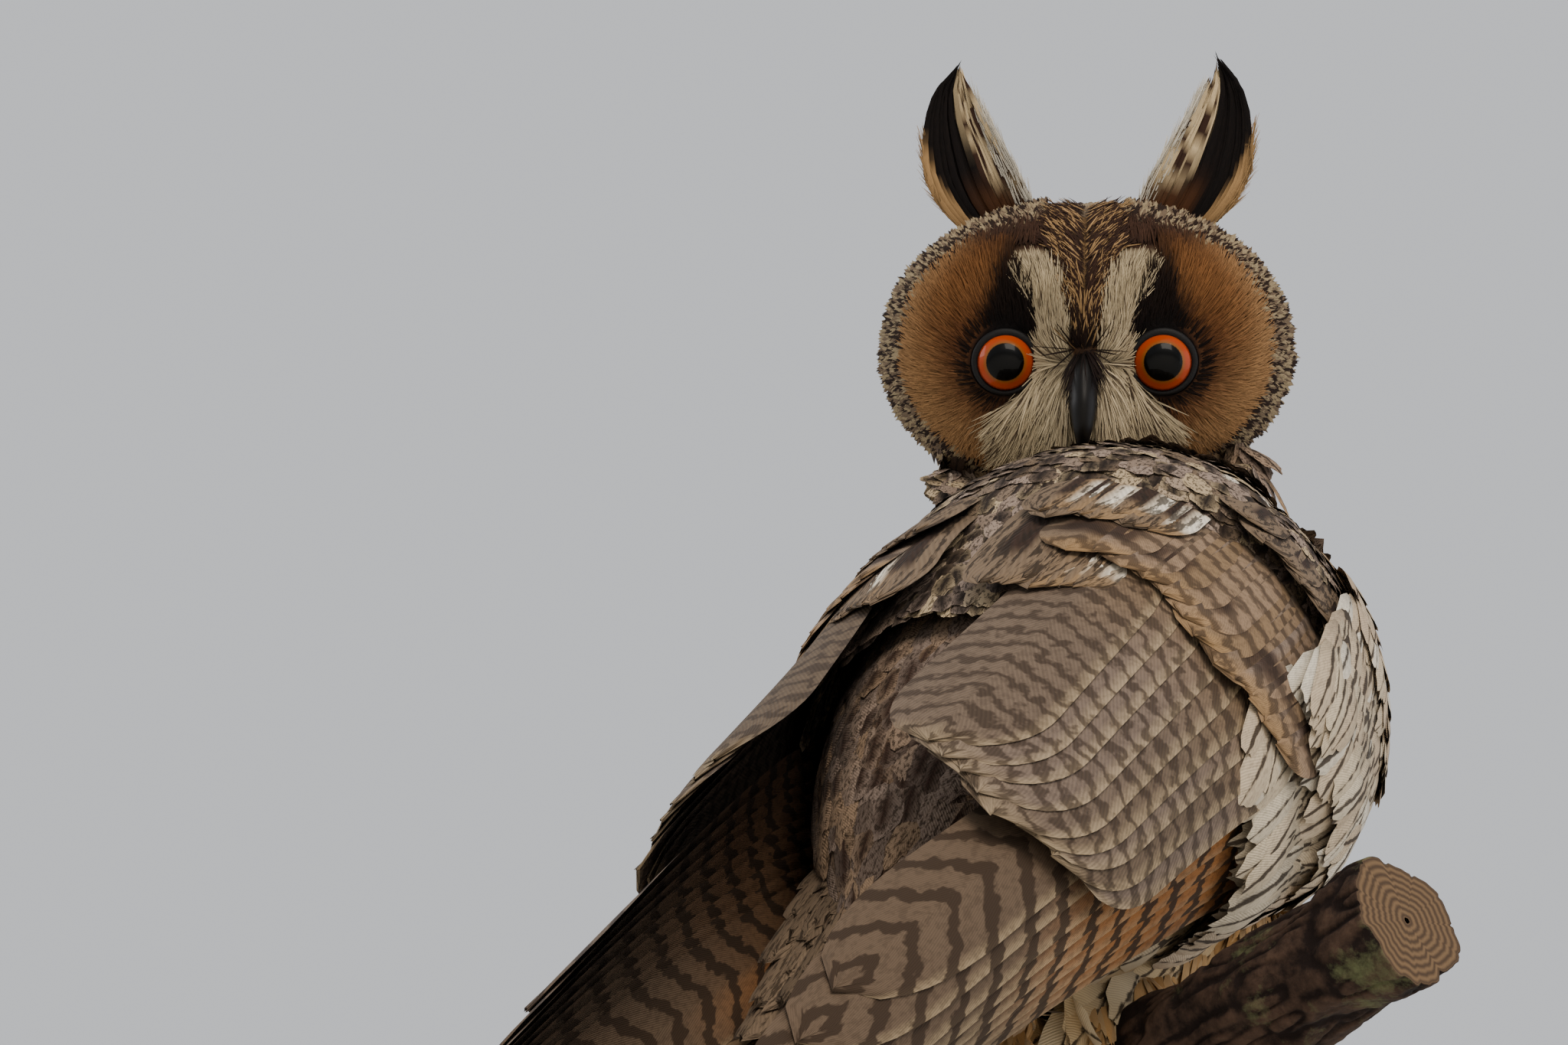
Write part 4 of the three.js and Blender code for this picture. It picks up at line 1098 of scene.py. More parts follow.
def tuftPlace(side, height, share, depth):
    outer = np.interp(height, tuft["height"], tuft["outer"])
    inner = np.interp(height, tuft["height"], tuft["inner"])
    x = -side * (outer + (inner - outer) * share)
    cup = 3.2 * (2 * share - 1) ** 2
    return headPlace(x, height, 3.5 + depth + cup - 0.16 * (height - 24))


def tuftTone(share, height, face):
    rim = np.interp(height, [26, 34, 41, 48, 60], [0.2, 0.14, 0.07, -0.02, -0.06])
    tone = blendTo(palette["buff"] * 1.1, palette["black"], ease(share, rim - 0.03, rim + 0.04))
    paleFrom = np.interp(height, [30, 40, 50, 62], [0.72, 0.58, 0.52, 0.5])
    pale = ease(share, paleFrom - 0.03, paleFrom + 0.08) * ease(height, 33, 41)
    tone = blendTo(tone, palette["cream"], pale)
    dusk = (1 - ease(height, 31, 40)) * ease(share, 0.3, 0.5)
    tone = blendTo(tone, palette["deepTawny"] * 0.7, dusk)
    return blendTo(tone, palette["umber"] * 0.9, 0.75 * (1 - face))


def addTufts():
    for name, side in (("right", 1), ("left", -1)):
        count = tuft["vanes"] * tuft["layers"]
        share = np.tile(np.linspace(0.02, 0.98, tuft["vanes"]), tuft["layers"]) + rng.normal(0, 0.012, count)
        share = np.clip(share, 0, 1)
        layer = np.repeat(np.arange(tuft["layers"]), tuft["vanes"])
        top = tuft["top"] - rng.uniform(0, 8, count) - 10 * ease(share, 0.5, 1.0) * rng.random(count)
        share = np.repeat(share[:, None], tuft["rows"], 1)
        u = np.linspace(0, 1, tuft["rows"])
        height = tuft["foot"] + (top - tuft["foot"])[:, None] * u
        depth = (-2.0 * layer + rng.uniform(-0.8, 0.8, count))[:, None]
        centres = tuftPlace(side, height, share, depth)
        run = unit(np.gradient(centres, axis=1))
        ups = np.broadcast_to(faceOut, run.shape)
        half = tuft["half"] * np.minimum(1, 0.5 + 2 * u) * (1 - 0.7 * u ** 4)
        sides = unit(np.cross(run, ups)) * half[None, :, None]
        shapes = ribbons(centres, sides, ups, 3, camber=0.3, fray=0.5)
        # Tones change along these long feathers, so they are given to each row
        tones = tuftTone(share, height, (layer < tuft["layers"] - 1)[:, None])
        tones = tones * rng.uniform(0.75, 1.15, (count, 1, 1))
        specks = (rng.random(height.shape) < 0.3) & (share > 0.6) & (height > 38)
        tones[specks] = palette["umber"]
        addVanes(f"ear_tuft_feathers_{name}", shapes, tones, (-0.3, 0, 0.15), tuftPlumage,
                 [f"ear_tuft_{name}"], patch=0)

        hairs = tuft["hairs"]
        atInner = rng.random(hairs) < 0.75
        share = np.where(atInner, rng.uniform(0.8, 1.02, hairs), rng.uniform(-0.03, 0.03, hairs))
        base = np.where(atInner, rng.uniform(25, 52, hairs), rng.uniform(24, 42, hairs))
        start = tuftPlace(side, base, share, rng.uniform(-2, 1, hairs))
        end = np.minimum(base + rng.uniform(8, 13, hairs), 70)
        tip = tuftPlace(side, end, share, rng.uniform(-2, 1, hairs))
        outward = np.where(atInner, side, -side)[:, None] * faceLeft * rng.uniform(0.2, 2.6, (hairs, 1))
        v = np.linspace(0, 1, tuft["hairRows"])[:, None]
        centres = start[:, None] + (tip - start)[:, None] * v + outward[:, None] * v ** 2
        run = unit(np.gradient(centres, axis=1))
        ups = np.broadcast_to(faceOut, run.shape)
        sides = unit(np.cross(run, ups)) * (tuft["hairHalf"] * (1 - 0.8 * v))[None]
        tone = np.where(atInner[:, None], palette["white"], palette["buff"])
        tone = tone * rng.uniform(0.6, 1, (hairs, 1))
        addVanes(f"ear_tuft_hairs_{name}", ribbons(centres, sides, ups, 2), tone,
                 (-0.3, 0, 0), facePlumage, patch=0.002)
    print("ear tufts")


# Eyes: a black pupil in an orange iris under a wet cornea, ringed by a black lid

lid = {"reach": 7.15, "droop": 0.35, "out": 0.85, "up": 0.75, "seat": 0.2, "round": 96, "profile": 14}
irisLook = {
    "pupil": "#020202", "inner": "#7A4A1C", "mid": "#9A370C", "outer": "#5E1C07", "rim": "#050303",
    "span": 8, "threads": (26, 1.2, 1),
}


def eyeMaterial():
    material, tree, shader = newMaterial("wet_eye", {
        "Roughness": 0.35, "Specular IOR Level": 0.06, "Coat Weight": 0.3, "Coat Roughness": 0.015,
        "Coat IOR": 1.34})
    place = addNode(tree, "Attribute", {"attribute_name": "place"})["Vector"]
    reach, angle, _ = addNode(tree, "SeparateXYZ", {}, {0: place})
    # Fine threads that run from the pupil out to the iris's rim
    fibre = addNode(tree, "CombineXYZ", {}, {0: angle, 1: reach})[0]
    stretched = addNode(tree, "VectorMath", {"operation": "MULTIPLY"},
                        {0: fibre, 1: irisLook["threads"]})[0]
    threads = addNode(tree, "TexNoise", {}, {"Vector": stretched, "Scale": 1.0, "Detail": 3.0})[0]
    shifted = addNode(tree, "Math", {"operation": "MULTIPLY_ADD"},
                      {0: threads, 1: 0.35, 2: reach})[0]
    span = irisLook["span"]
    share = addNode(tree, "MapRange", {},
                    {"Value": shifted, "From Min": 0.17, "From Max": 0.17 + span})[0]
    ramp = addNode(tree, "ValToRGB", {}, {0: share})[0]
    pupil, iris = eyes["pupil"], eyes["iris"]
    stops = [(0, "pupil"), (pupil - 0.05, "pupil"), (pupil + 0.12, "inner"), (pupil + 1.05, "mid"),
             (iris - 0.55, "mid"), (iris - 0.1, "outer"), (iris + 0.12, "rim"), (span, "rim")]
    elements = ramp.node.color_ramp.elements
    while len(elements) < len(stops):
        elements.new(0.5)
    for element, (stop, colour) in zip(elements, stops):
        element.position = stop / span
        element.color = rgba(linear(irisLook[colour]))
    tree.links.new(ramp, shader.inputs["Base Color"])
    return material


def addEyes():
    wet = eyeMaterial()
    lidFinish = {"Base Color": rgba(linear("#060404")), "Roughness": 0.62, "Specular IOR Level": 0.25}
    lidSkin = grainedMaterial("black_lid_skin", lidFinish, (2500, 2500, 2500), 3.0,
                              relief=(0.4, 0.0002))  # dull bare skin, wrinkled every 0.4 mm
    for name, side in (("right", -1), ("left", 1)):
        # x runs to the owl's left in the head's frame
        centre = headPlace(side * eyes["spacing"] / 2, -eyes["drop"], eyeDepth)
        points, quads = ballForm(centre, (faceLeft, faceUp, faceOut), [eyes["radius"]] * 3, 96, 64)
        rel = points - centre
        across, over, out = rel @ faceLeft, rel @ faceUp, rel @ faceOut
        reach = np.where(out > 0, np.hypot(across, over), 9)
        place = np.stack([reach, np.arctan2(over, across), out], 1)
        # The cornea bulges a little over the iris
        points = points + rel / eyes["radius"] * (0.9 * (1 - ease(reach, 2.5, 7.2)) * (out > 0))[:, None]
        addPiece(f"eyeball_{name}", points, quads, wet, [f"eye_{name}"], layers={"place": place})

        turnRound = np.linspace(0, 2 * math.pi, lid["round"], endpoint=False)
        profile = np.linspace(0, 2 * math.pi, lid["profile"], endpoint=False)
        # The upper lid comes a little lower over the ball than the lower lid comes up
        rimReach = lid["reach"] - lid["droop"] * np.clip(np.sin(turnRound), 0, 1)
        tubeOut = lid["out"] * np.cos(profile)
        tubeUp = lid["up"] * np.sin(profile)
        seat = np.sqrt(eyes["radius"] ** 2 - rimReach ** 2) + lid["seat"]
        radius = rimReach[:, None] + tubeOut[None] * (1 + 0.25 * np.sin(turnRound)[:, None])
        rings = (centre + (np.cos(turnRound)[:, None] * radius)[..., None] * faceLeft
                 + (np.sin(turnRound)[:, None] * radius)[..., None] * faceUp
                 + (seat[:, None] + tubeUp[None])[..., None] * faceOut)
        near = np.arange(rings.size // 3).reshape(rings.shape[:2])
        far = np.roll(near, -1, 0)
        quads = np.stack([near, far, np.roll(far, -1, 1), np.roll(near, -1, 1)], -1).reshape(-1, 4)
        addPiece(f"lid_{name}", rings.reshape(-1, 3), quads, lidSkin)
    print("eyes")


# Bill and claws: black-grey keratin horn, smooth with a dull shine and clouds of tone 3 mm wide

hornFinish = {
    "Roughness": 0.46, "Specular IOR Level": 0.14, "IOR": 1.54, "Coat Weight": 0.03, "Coat Roughness": 0.25,
}
horn = grainedMaterial("keratin_horn", hornFinish, (350, 350, 350), 4.0, ("#080706", "#100D0B"),
                       (0.2, 0.0002))

bill = {
    "upper": [[-4, -6, 3.4], [-10, 1, 4.6], [-16, 4.5, 4.2], [-21, 5.5, 3], [-26.5, 3.5, 0.7]],
    "lower": [[-17, -6, 3.2], [-19.5, -1, 3.2], [-22, 2.6, 2.3], [-24, 4.6, 0.8]],
    "seat": -12,
}


def addBill():
    faceAt = float(faceSurface(0, bill["seat"]))
    for part in ("upper", "lower"):
        course = np.array(bill[part], float)
        t = np.linspace(0, len(course) - 1, 26)
        y, out, radius = [np.interp(t, range(len(course)), course[:, k]) for k in range(3)]
        kernel = np.array([1, 2, 3, 2, 1]) / 9
        y, out = [np.convolve(np.pad(values, 2, "edge"), kernel, "valid") for values in (y, out)]
        run = unit(np.gradient(np.stack([y, out], 1), axis=0))
        angle = np.linspace(0, 2 * math.pi, 28, endpoint=False)
        keel = 1 + 0.08 * np.cos(2 * angle)
        beside = np.cos(angle) * radius[:, None] * 0.68 * keel
        over = np.sin(angle) * radius[:, None] * 0.97
        rings = headPlace(beside, y[:, None] - run[:, 1:] * over, faceAt + out[:, None] + run[:, :1] * over)
        points, quads = loft(rings)
        addPiece(f"horn_bill_{part}", points, quads, horn, [f"bill_{part}"])
    print("bill")


claw = {"stations": [-6, 0, 14, 28, 44], "radii": [2.0, 2.0, 1.65, 1.05, 0.22]}


def addClaws():
    for name, side in (("right", 1), ("left", -1)):
        for toe, (offset, _, end) in feet["toes"].items():
            direction = np.sign(end)
            t = np.linspace(0, 1, 22)
            turned = np.interp(t, np.linspace(0, 1, 5), claw["stations"])
            radii = np.interp(t, np.linspace(0, 1, 5), claw["radii"])
            bow = np.interp(t, np.linspace(0, 1, 5), [0, 0, 1, 4, 9])
            line = perchPoint(side * feet["spread"] + offset * 1.2,
                              (end + direction * (2 + turned)) * degree, 5.2 - 0.12 * bow)
            points, quads = limbForm(line, radii, 16)
            addPiece(f"horn_claw_{toe}_{name}", points, quads, horn, [f"claw_{toe}_{name}"])
    print("claws")


# The folded wings: rows of vanes laid round the body's curve, as on the solids but closer

wingRows = {
    "primaries": {
        "count": 9, "last": 5,
        "run": lambda j: (6, np.interp(j, range(6), [-194, -210, -213, -204, -186, -164])),
        "angle": lambda j: (-27 + 6.7 * j, -16 + 8.8 * j), "half": 8.4,
        "lift": lambda j: (2.1 + 0.3 * j, 2.2 + 0.46 * j), "slope": (0.15, 0.19), "bar": 11.5,
    },
    "secondaries": {
        "count": 9, "last": 5, "run": lambda j: (4, -116 + 3.4 * np.abs(j - 2)),
        "angle": lambda j: (5 + 10 * j, 9 + 9.8 * j), "half": 10.4,
        "lift": lambda j: (6.6 + 0.1 * j, 7.9 + 0.1 * j), "slope": (0.09, 0.18), "bar": 6.5,
    },
    "greater": {
        "count": 12, "last": 6.2, "run": lambda j: (30, -36 + 1.5 * np.abs(j - 2)),
        "angle": lambda j: (-1 + 10 * j, 4 + 9.8 * j), "half": 7.6,
        "lift": lambda j: (7.8 - 0.4 * j, 10.8 - 0.25 * j), "slope": (0.12, 0.13), "bar": 7,
    },
    "median": {
        "count": 7, "last": 3, "run": lambda j: (54, 8 + 1.2 * j),
        "angle": lambda j: (4 + 11 * j, 8 + 10.8 * j), "half": 6.4,
        "lift": lambda j: (8, 12.4), "slope": (0.12, 0.13), "bar": 0,
    },
    "scapularsLong": {
        "count": 8, "last": 3.2, "run": lambda j: (40, -42 - 2 * j),
        "angle": lambda j: (56 + 6.4 * j, 58 + 6 * j), "half": 6.4,
        "lift": lambda j: (4.6, 8), "slope": (0.12, 0.12), "bar": 0,
    },
    "scapularsMiddle": {
        "count": 9, "last": 3.6, "run": lambda j: (52, -12 - 2 * j),
        "angle": lambda j: (52 + 6.4 * j, 54 + 6 * j), "half": 6,
        "lift": lambda j: (5.6, 9.4), "slope": (0.12, 0.12), "bar": 0,
    },
}


def featherOutline(u, shoulder=0.8):
    rounded = np.sqrt(np.clip(1 - (np.clip(u - shoulder, 0, 1) / (1 - shoulder)) ** 2, 0, 1))
    return np.minimum(0.5 + 1.4 * u, 1) * rounded


def wingVanes(side, row, rows=36, columns=11):
    j = np.linspace(0, row["last"], row["count"]) + rng.normal(0, 0.05, row["count"])
    j = np.clip(j, 0, row["last"])
    u = np.linspace(0, 1, rows)[None, :, None]
    v = np.linspace(-1, 1, columns)[None, None, :]

    def between(pair):
        start, end = [np.broadcast_to(np.asarray(value, float), j.shape)[:, None, None] for value in pair]
        return start + (end - start) * u

    start, end = row["run"](j)
    end = end + rng.uniform(-2.5, 2.5, len(j))
    s = between((start, end))
    width, back, _, _ = wingSection(s)
    reach = v * row["half"] * featherOutline(u)
    angle = between(row["angle"](j)) * degree + 2 * reach / (width + back)
    lift = between(row["lift"](j)) - reach * between(row["slope"]) - 0.5 * v ** 2 + 0.25 * (np.abs(v) < 0.08)
    frayed = 0.8 * rng.uniform(-1, 1, (len(j), 1, columns)) * ease(u, 0.75, 1)
    points = bodyPoint(wingSection, side, s + frayed, angle, lift)
    return points, vanePlaces(len(j), rows, columns), start - end


def wingTones(kind, place):
    u, v, seed = place[..., 0], place[..., 1], place[..., 2]
    outer = 1 - ease(v, -0.35, 0.05)
    if kind == "primaries":
        warm = (1 - ease(u, 0.3, 0.7)) * (0.25 + 0.75 * outer)
        tone = blendTo(palette["darkGrey"], palette["grey"], 0.5)
        tone = blendTo(tone, palette["orange"], warm)
        return blendTo(tone, palette["cream"], 0.4 * ease(-v, 0.8, 1.0))
    if kind == "secondaries":
        tone = blendTo(palette["grey"], palette["paleGrey"], 0.35 + 0.35 * np.sin(seed * 40)) * 0.72
        tone = blendTo(tone, palette["buff"], 0.3 * outer * (1 - ease(u, 0.2, 0.6)))
        edged = np.maximum(0.4 * ease(u, 0.95, 1.0), 0.45 * ease(-v, 0.8, 0.95))
        return blendTo(tone, palette["cream"], edged)
    if kind == "greater":
        tone = blendTo(palette["grey"], palette["paleGrey"], 0.4 + 0.4 * np.sin(seed * 50))
        tone = blendTo(tone, palette["buff"], 0.35 * outer)
        blotch = ease(u, 0.7, 0.76) * (1 - ease(u, 0.84, 0.9)) * (1 - ease(np.abs(v - 0.05), 0.4, 0.7))
        tone = blendTo(tone, palette["umber"] * 0.8, 0.9 * blotch)
        return blendTo(tone, palette["buff"], 0.55 * ease(u, 0.9, 0.95))
    shaft = np.abs(v + 0.1) < 0.32 + 0.1 * np.sin(seed * 30)
    spotted = shaft * ease(u, 0.4, 0.5) * (1 - ease(u, 0.8, 0.88))
    tone = blendTo(palette["grey"], palette["buff"], 0.55 * ease(seed, 0.3, 1) * outer)
    tone = blendTo(tone, palette["umber"] * 0.7, 0.95 * spotted)
    pale = (1 - ease(v, -0.75, -0.45)) * ease(u, 0.6, 0.66) * (1 - ease(u, 0.86, 0.92))
    return blendTo(tone, palette["white"] * 1.1, pale * (seed > 0.62))


smallCoverts = {
    "spacing": 3.0, "length": (9, 13), "half": (2.6, 3.8), "lift": 0.2, "tilt": (0.1, 0.18), "hug": 36,
    "rows": 6, "columns": 5, "fray": 0.2, "roundTip": 0.6,
}


def addWing(name, side, skin):
    plan = [
        ("primaries", ["primaries"], flightPlumage, "barred_feathers", [f"primaries_{name}"]),
        ("secondaries", ["secondaries"], greyPlumage, "barred_feathers", [f"secondaries_{name}"]),
        ("greater_coverts", ["greater"], greyPlumage, "mottled_feathers", []),
        ("median_coverts", ["median"], backPlumage, "mottled_feathers", []),
        ("scapulars", ["scapularsLong", "scapularsMiddle"], backPlumage, "mottled_feathers",
         [f"scapulars_{name}"]),
    ]
    for title, kinds, material, slot, covers in plan:
        sheets = [wingVanes(side, wingRows[kind]) for kind in kinds]
        points = np.concatenate([sheet[0] for sheet in sheets])
        place = np.concatenate([sheet[1] for sheet in sheets])
        tones = np.concatenate([wingTones(kind, sheet[1]) for kind, sheet in zip(kinds, sheets)])
        marks = []
        for kind, sheet in zip(kinds, sheets):
            bar = wingRows[kind]["bar"]
            bars = sheet[2] / bar if bar else np.zeros(len(sheet[2]))
            marks.append([(-0.3, many, 0.35 if bar else 0.9) for many in bars])
        addVanes(f"{title}_{name}", (points, place), tones, np.concatenate(marks), material, covers,
                 patch=0)

    # Small coverts over the upper arm, scale on scale
    roots, ups = scatter(skin, "arm", smallCoverts["spacing"])
    s, angle, across = bodyPlace(roots)
    own = (across * side > 0) & (angle > 8) & (s < 76)
    roots, ups = roots[own], ups[own]
    count = len(roots)
    lies = swing(along(ups, np.broadcast_to(-forward, roots.shape)), ups, 0.12)
    shapes = layFeathers(smallCoverts, roots, ups, lies)
    addVanes(f"lesser_coverts_{name}", shapes, mottledTones(count, smallCoverts), (-0.3, 0, 0.9), backPlumage)
    print("wing", name, count, "small coverts")


# Soft feathers on swells of the plumage: the mantle over the shoulder blades, and the flank, which is
# fluffed out over the front and the lower edge of the folded wing

mantle = {
    "run": (-34, 90), "angles": (30, 98), "spacing": 3.0, "step": 3.5, "length": (11, 16),
    "half": (3.2, 4.4), "lift": 0.2, "tilt": (0.08, 0.18), "hug": 44, "rows": 7, "columns": 5,
    "fray": 0.2, "roundTip": 0.6,
}
flank = {
    "run": (-26, 88), "angles": (-62, 44), "spacing": 3.3, "step": 4.0, "length": (16, 24),
    "half": (3.0, 4.2), "lift": 0.3, "tilt": (0.04, 0.14), "hug": 46, "rows": 8, "columns": 5,
    "fray": 0.45, "roundTip": 0.55,
}


def mantleLift(s, angle):
    return 1.5 + 7.7 * (1 - ease(s, 62, 90)) * ease(angle, 22, 44) * (0.1 + 0.9 * ease(s, -25, 30))


def flankLift(s, angle):
    return 14 * ease(angle, -54, -24) * (1 - 0.85 * ease(s, 34, 88)) * (1 - 0.4 * ease(-s, 0, 24))


def swell(side, plan, liftAt):
    # Roots at jittered crossings of a grid on the swell, and the directions that stand out of it
    s, angle = np.meshgrid(np.arange(*plan["run"], plan["spacing"]), np.arange(*plan["angles"], plan["step"]))
    s = (s + rng.uniform(-0.5, 0.5, s.shape) * plan["spacing"]).ravel()
    angle = (angle + rng.uniform(-0.5, 0.5, angle.shape) * plan["step"]).ravel()
    corner, ahead, above = [
        bodyPoint(torsoSection, side, s + i, (angle + j) * degree, liftAt(s + i, angle + j))
        for i, j in ((0, 0), (1, 0), (0, 1))]
    return corner, side * unit(np.cross(ahead - corner, above - corner)), s, angle


def addMantle(name, side):
    roots, ups, s, angle = swell(side, mantle, mantleLift)
    count = len(roots)
    lies = swing(along(ups, np.broadcast_to(-forward + 0.12 * side * rightward, roots.shape)), ups, 0.12)
    shapes = layFeathers(mantle, roots, ups, lies)
    tones = mottledTones(count, mantle)
    spotted = (angle < 60) & (s > 30) & (s < 80) & (rng.random(count) < 0.06)
    tones = np.where(spotted[:, None, None, None], whiteSpots(tones, spotted), tones)
    addVanes(f"mantle_feathers_{name}", shapes, tones, (-0.2, 0, 0.85), backPlumage)
    print("mantle", name, count)


def addFlank(name, side):
    roots, ups, s, angle = swell(side, flank, flankLift)
    shown = angle < 14 + 30 * ease(s, 52, 74)
    roots, ups, s, angle = roots[shown], ups[shown], s[shown], angle[shown]
    count = len(roots)
    down = -forward - 0.25 * dorsal * ease(angle, -30, 10)[:, None]
    lies = swing(along(ups, down), ups, 0.12)
    tilt = rng.uniform(*flank["tilt"], count) * (1 - 0.8 * ease(s, 40, 80))
    length = rng.uniform(*flank["length"], count)
    half = rng.uniform(*flank["half"], count)
    laid = layOn(roots, ups, lies, length, half, flank["lift"], tilt, flank["hug"], flank["rows"])
    shapes = ribbons(*laid, flank["columns"], fray=flank["fray"], roundTip=flank["roundTip"])
    speckle = rng.random(count)
    upper = ease(s, 40, 68)
    streak = -0.02 + (0.13 + 0.1 * upper) * rng.uniform(0.0, 1.3, count)
    tone = bodyTone(s, np.minimum(angle - 35, -21), speckle)
    tone = blendTo(tone, palette["white"], 0.4 * (1 - upper))
    tone = blendTo(tone, palette["paleGrey"], 0.5 * upper * rng.random(count))
    arrows = np.where(rng.random(count) < 0.05, rng.uniform(1.2, 1.8, count), 0)
    addVanes(f"flank_feathers_{name}", shapes, tone, np.stack([streak, arrows, 0.25 + 0.35 * upper], 1),
             bodyPlumage)
    print("flank", name, count)


# Tail: the middle feather over five pairs, each a little under the one before, between two decks of coverts

tail = {"length": 134, "droop": 0.5, "ranks": 6, "bar": 9, "rows": 40, "columns": 11}
tailCoverts = {"count": 120, "reach": 17, "length": (30, 40), "half": (3.2, 4.6), "rows": 14, "columns": 5}
tailRun = -forward * math.cos(tail["droop"] * degree) - dorsal * math.sin(tail["droop"] * degree)
tailOver = -forward * math.sin(tail["droop"] * degree) + dorsal * math.cos(tail["droop"] * degree)
tailRoot = bodyCentre - 92 * forward


def tailPlace(along, across, over):
    along, across, over = [np.asarray(c, float)[..., None] for c in np.broadcast_arrays(along, across, over)]
    return tailRoot + tailRun * along + rightward * across + tailOver * over


def addTail():
    rows, columns = tail["rows"], tail["columns"]
    u = np.linspace(0, 1, rows)[:, None]
    v = np.linspace(-1, 1, columns)[None]
    sheets = []
    for rank in range(tail["ranks"]):
        for side in (1, -1):
            if rank == 0 and side < 0:
                continue
            length = tail["length"] - 0.35 * rank ** 2
            pitch = 1.7 + 2.2 * u
            half = (5.4 + 3.2 * u) * featherOutline(u, 0.9)
            across = pitch * (rank + 0.5 * (rank > 0)) + v * half
            tilt = 0 if rank == 0 else 0.12 * (across - pitch * rank)
            deck = 2.9 if rank == 0 else -0.25 * rank + 0.9
            over = deck + tilt - 0.35 * v ** 2 * (rank == 0)
            sheets.append(tailPlace(length * u + 0.5 * rng.uniform(-1, 1, (1, columns)) * ease(u, 0.8, 1),
                                    side * across, over))
    points = np.stack(sheets)
    place = vanePlaces(len(points), rows, columns)
    tone = blendTo(palette["grey"] * 0.9, palette["buff"], 0.22)
    tone = blendTo(tone, palette["cream"], 0.7 * ease(place[..., 0], 0.96, 1.0))
    addVanes("tail_feathers", (points, place), tone, (-0.3, tail["length"] / tail["bar"], 0.4), flightPlumage,
             ["tail"], patch=0)

    decks = [
        ("rump_coverts", 1, "grey", (-0.1, 0, 0.8), backPlumage, "mottled_feathers"),
        ("undertail_coverts", -1, "cream", (0.04, 0, 0.1), bodyPlumage, "body_feathers"),
    ]
    for title, deckSide, tint, marks, material, slot in decks:
        count = tailCoverts["count"]
        share = rng.random(count)
        across = rng.uniform(-tailCoverts["reach"], tailCoverts["reach"], count) * (1 - 0.35 * share)
        start = -34 + 42 * share
        length = rng.uniform(*tailCoverts["length"], count)
        u = np.linspace(0, 1, tailCoverts["rows"])
        lies = start[:, None] + length[:, None] * u
        height = 12 - 0.012 * across[:, None] ** 2 - 6.5 * ease(lies, -10, 50) + 2.0 * (1 - share[:, None])
        height += rng.uniform(-0.6, 0.6, (count, 1)) * u
        centres = tailPlace(lies, across[:, None] * (1 + 0.1 * u), deckSide * height)
        half = rng.uniform(*tailCoverts["half"], count)[:, None] * featherOutline(u)[None]
        ups = np.broadcast_to(deckSide * tailOver, centres.shape)
        tones = palette[tint] * rng.uniform(0.75, 1.1, (count, 1))
        shapes = ribbons(centres, rightward * half[..., None], ups, tailCoverts["columns"], 0.35, 0.8)
        addVanes(title, shapes, tones, marks, material)
    print("tail")


# Feathered legs and toes

legCoat = {
    "spacing": 1.9, "length": (7, 11), "half": (0.8, 1.4), "lift": 0.1, "tilt": (0.1, 0.3), "hug": 30,
    "rows": 5, "columns": 3, "fray": 0.5, "roundTip": 0.5,
}
toeCoat = {
    "spacing": 1.25, "length": (3.4, 5.2), "half": (0.45, 0.75), "lift": 0.05, "tilt": (0.1, 0.24), "hug": 9,
    "rows": 4, "columns": 3, "fray": 0.5, "roundTip": 0.5,
}


def addLegCoat(skin):
    roots, ups = scatter(skin, "leg", legCoat["spacing"])
    count = len(roots)
    lies = swing(along(ups, np.tile([0, 0.12, -1.0], (count, 1))), ups, 0.2)
    shapes = layFeathers(legCoat, roots, ups, lies)
    tone = blendTo(palette["legBuff"], palette["cream"], 0.5 * rng.random(count))
    addVanes("leg_feathers", shapes, tone * rng.uniform(0.7, 1.05, (count, 1)), (-0.3, 0, 0.1), bodyPlumage)
    print("legs", count)

    roots, ups = scatter(skin, "foot", toeCoat["spacing"])
    count = len(roots)
    t = (roots - perchCentre(0)) @ perchAxis
    ankle = perchPoint(np.sign(t) * feet["spread"], 0, 8)
    lies = swing(along(ups, unit(roots - ankle) - 0.6 * perchUp), ups, 0.18)
    shapes = layFeathers(toeCoat, roots, ups, lies)
    tone = blendTo(palette["legBuff"], palette["cream"], 0.5 * rng.random(count))
    addVanes("toe_feathers", shapes, tone * rng.uniform(0.65, 1.05, (count, 1)), (-0.3, 0, 0), bodyPlumage,
             patch=0.002)
    print("toes", count)


# Perch: a cut branch with rough bark, pale lichen and sawn ends

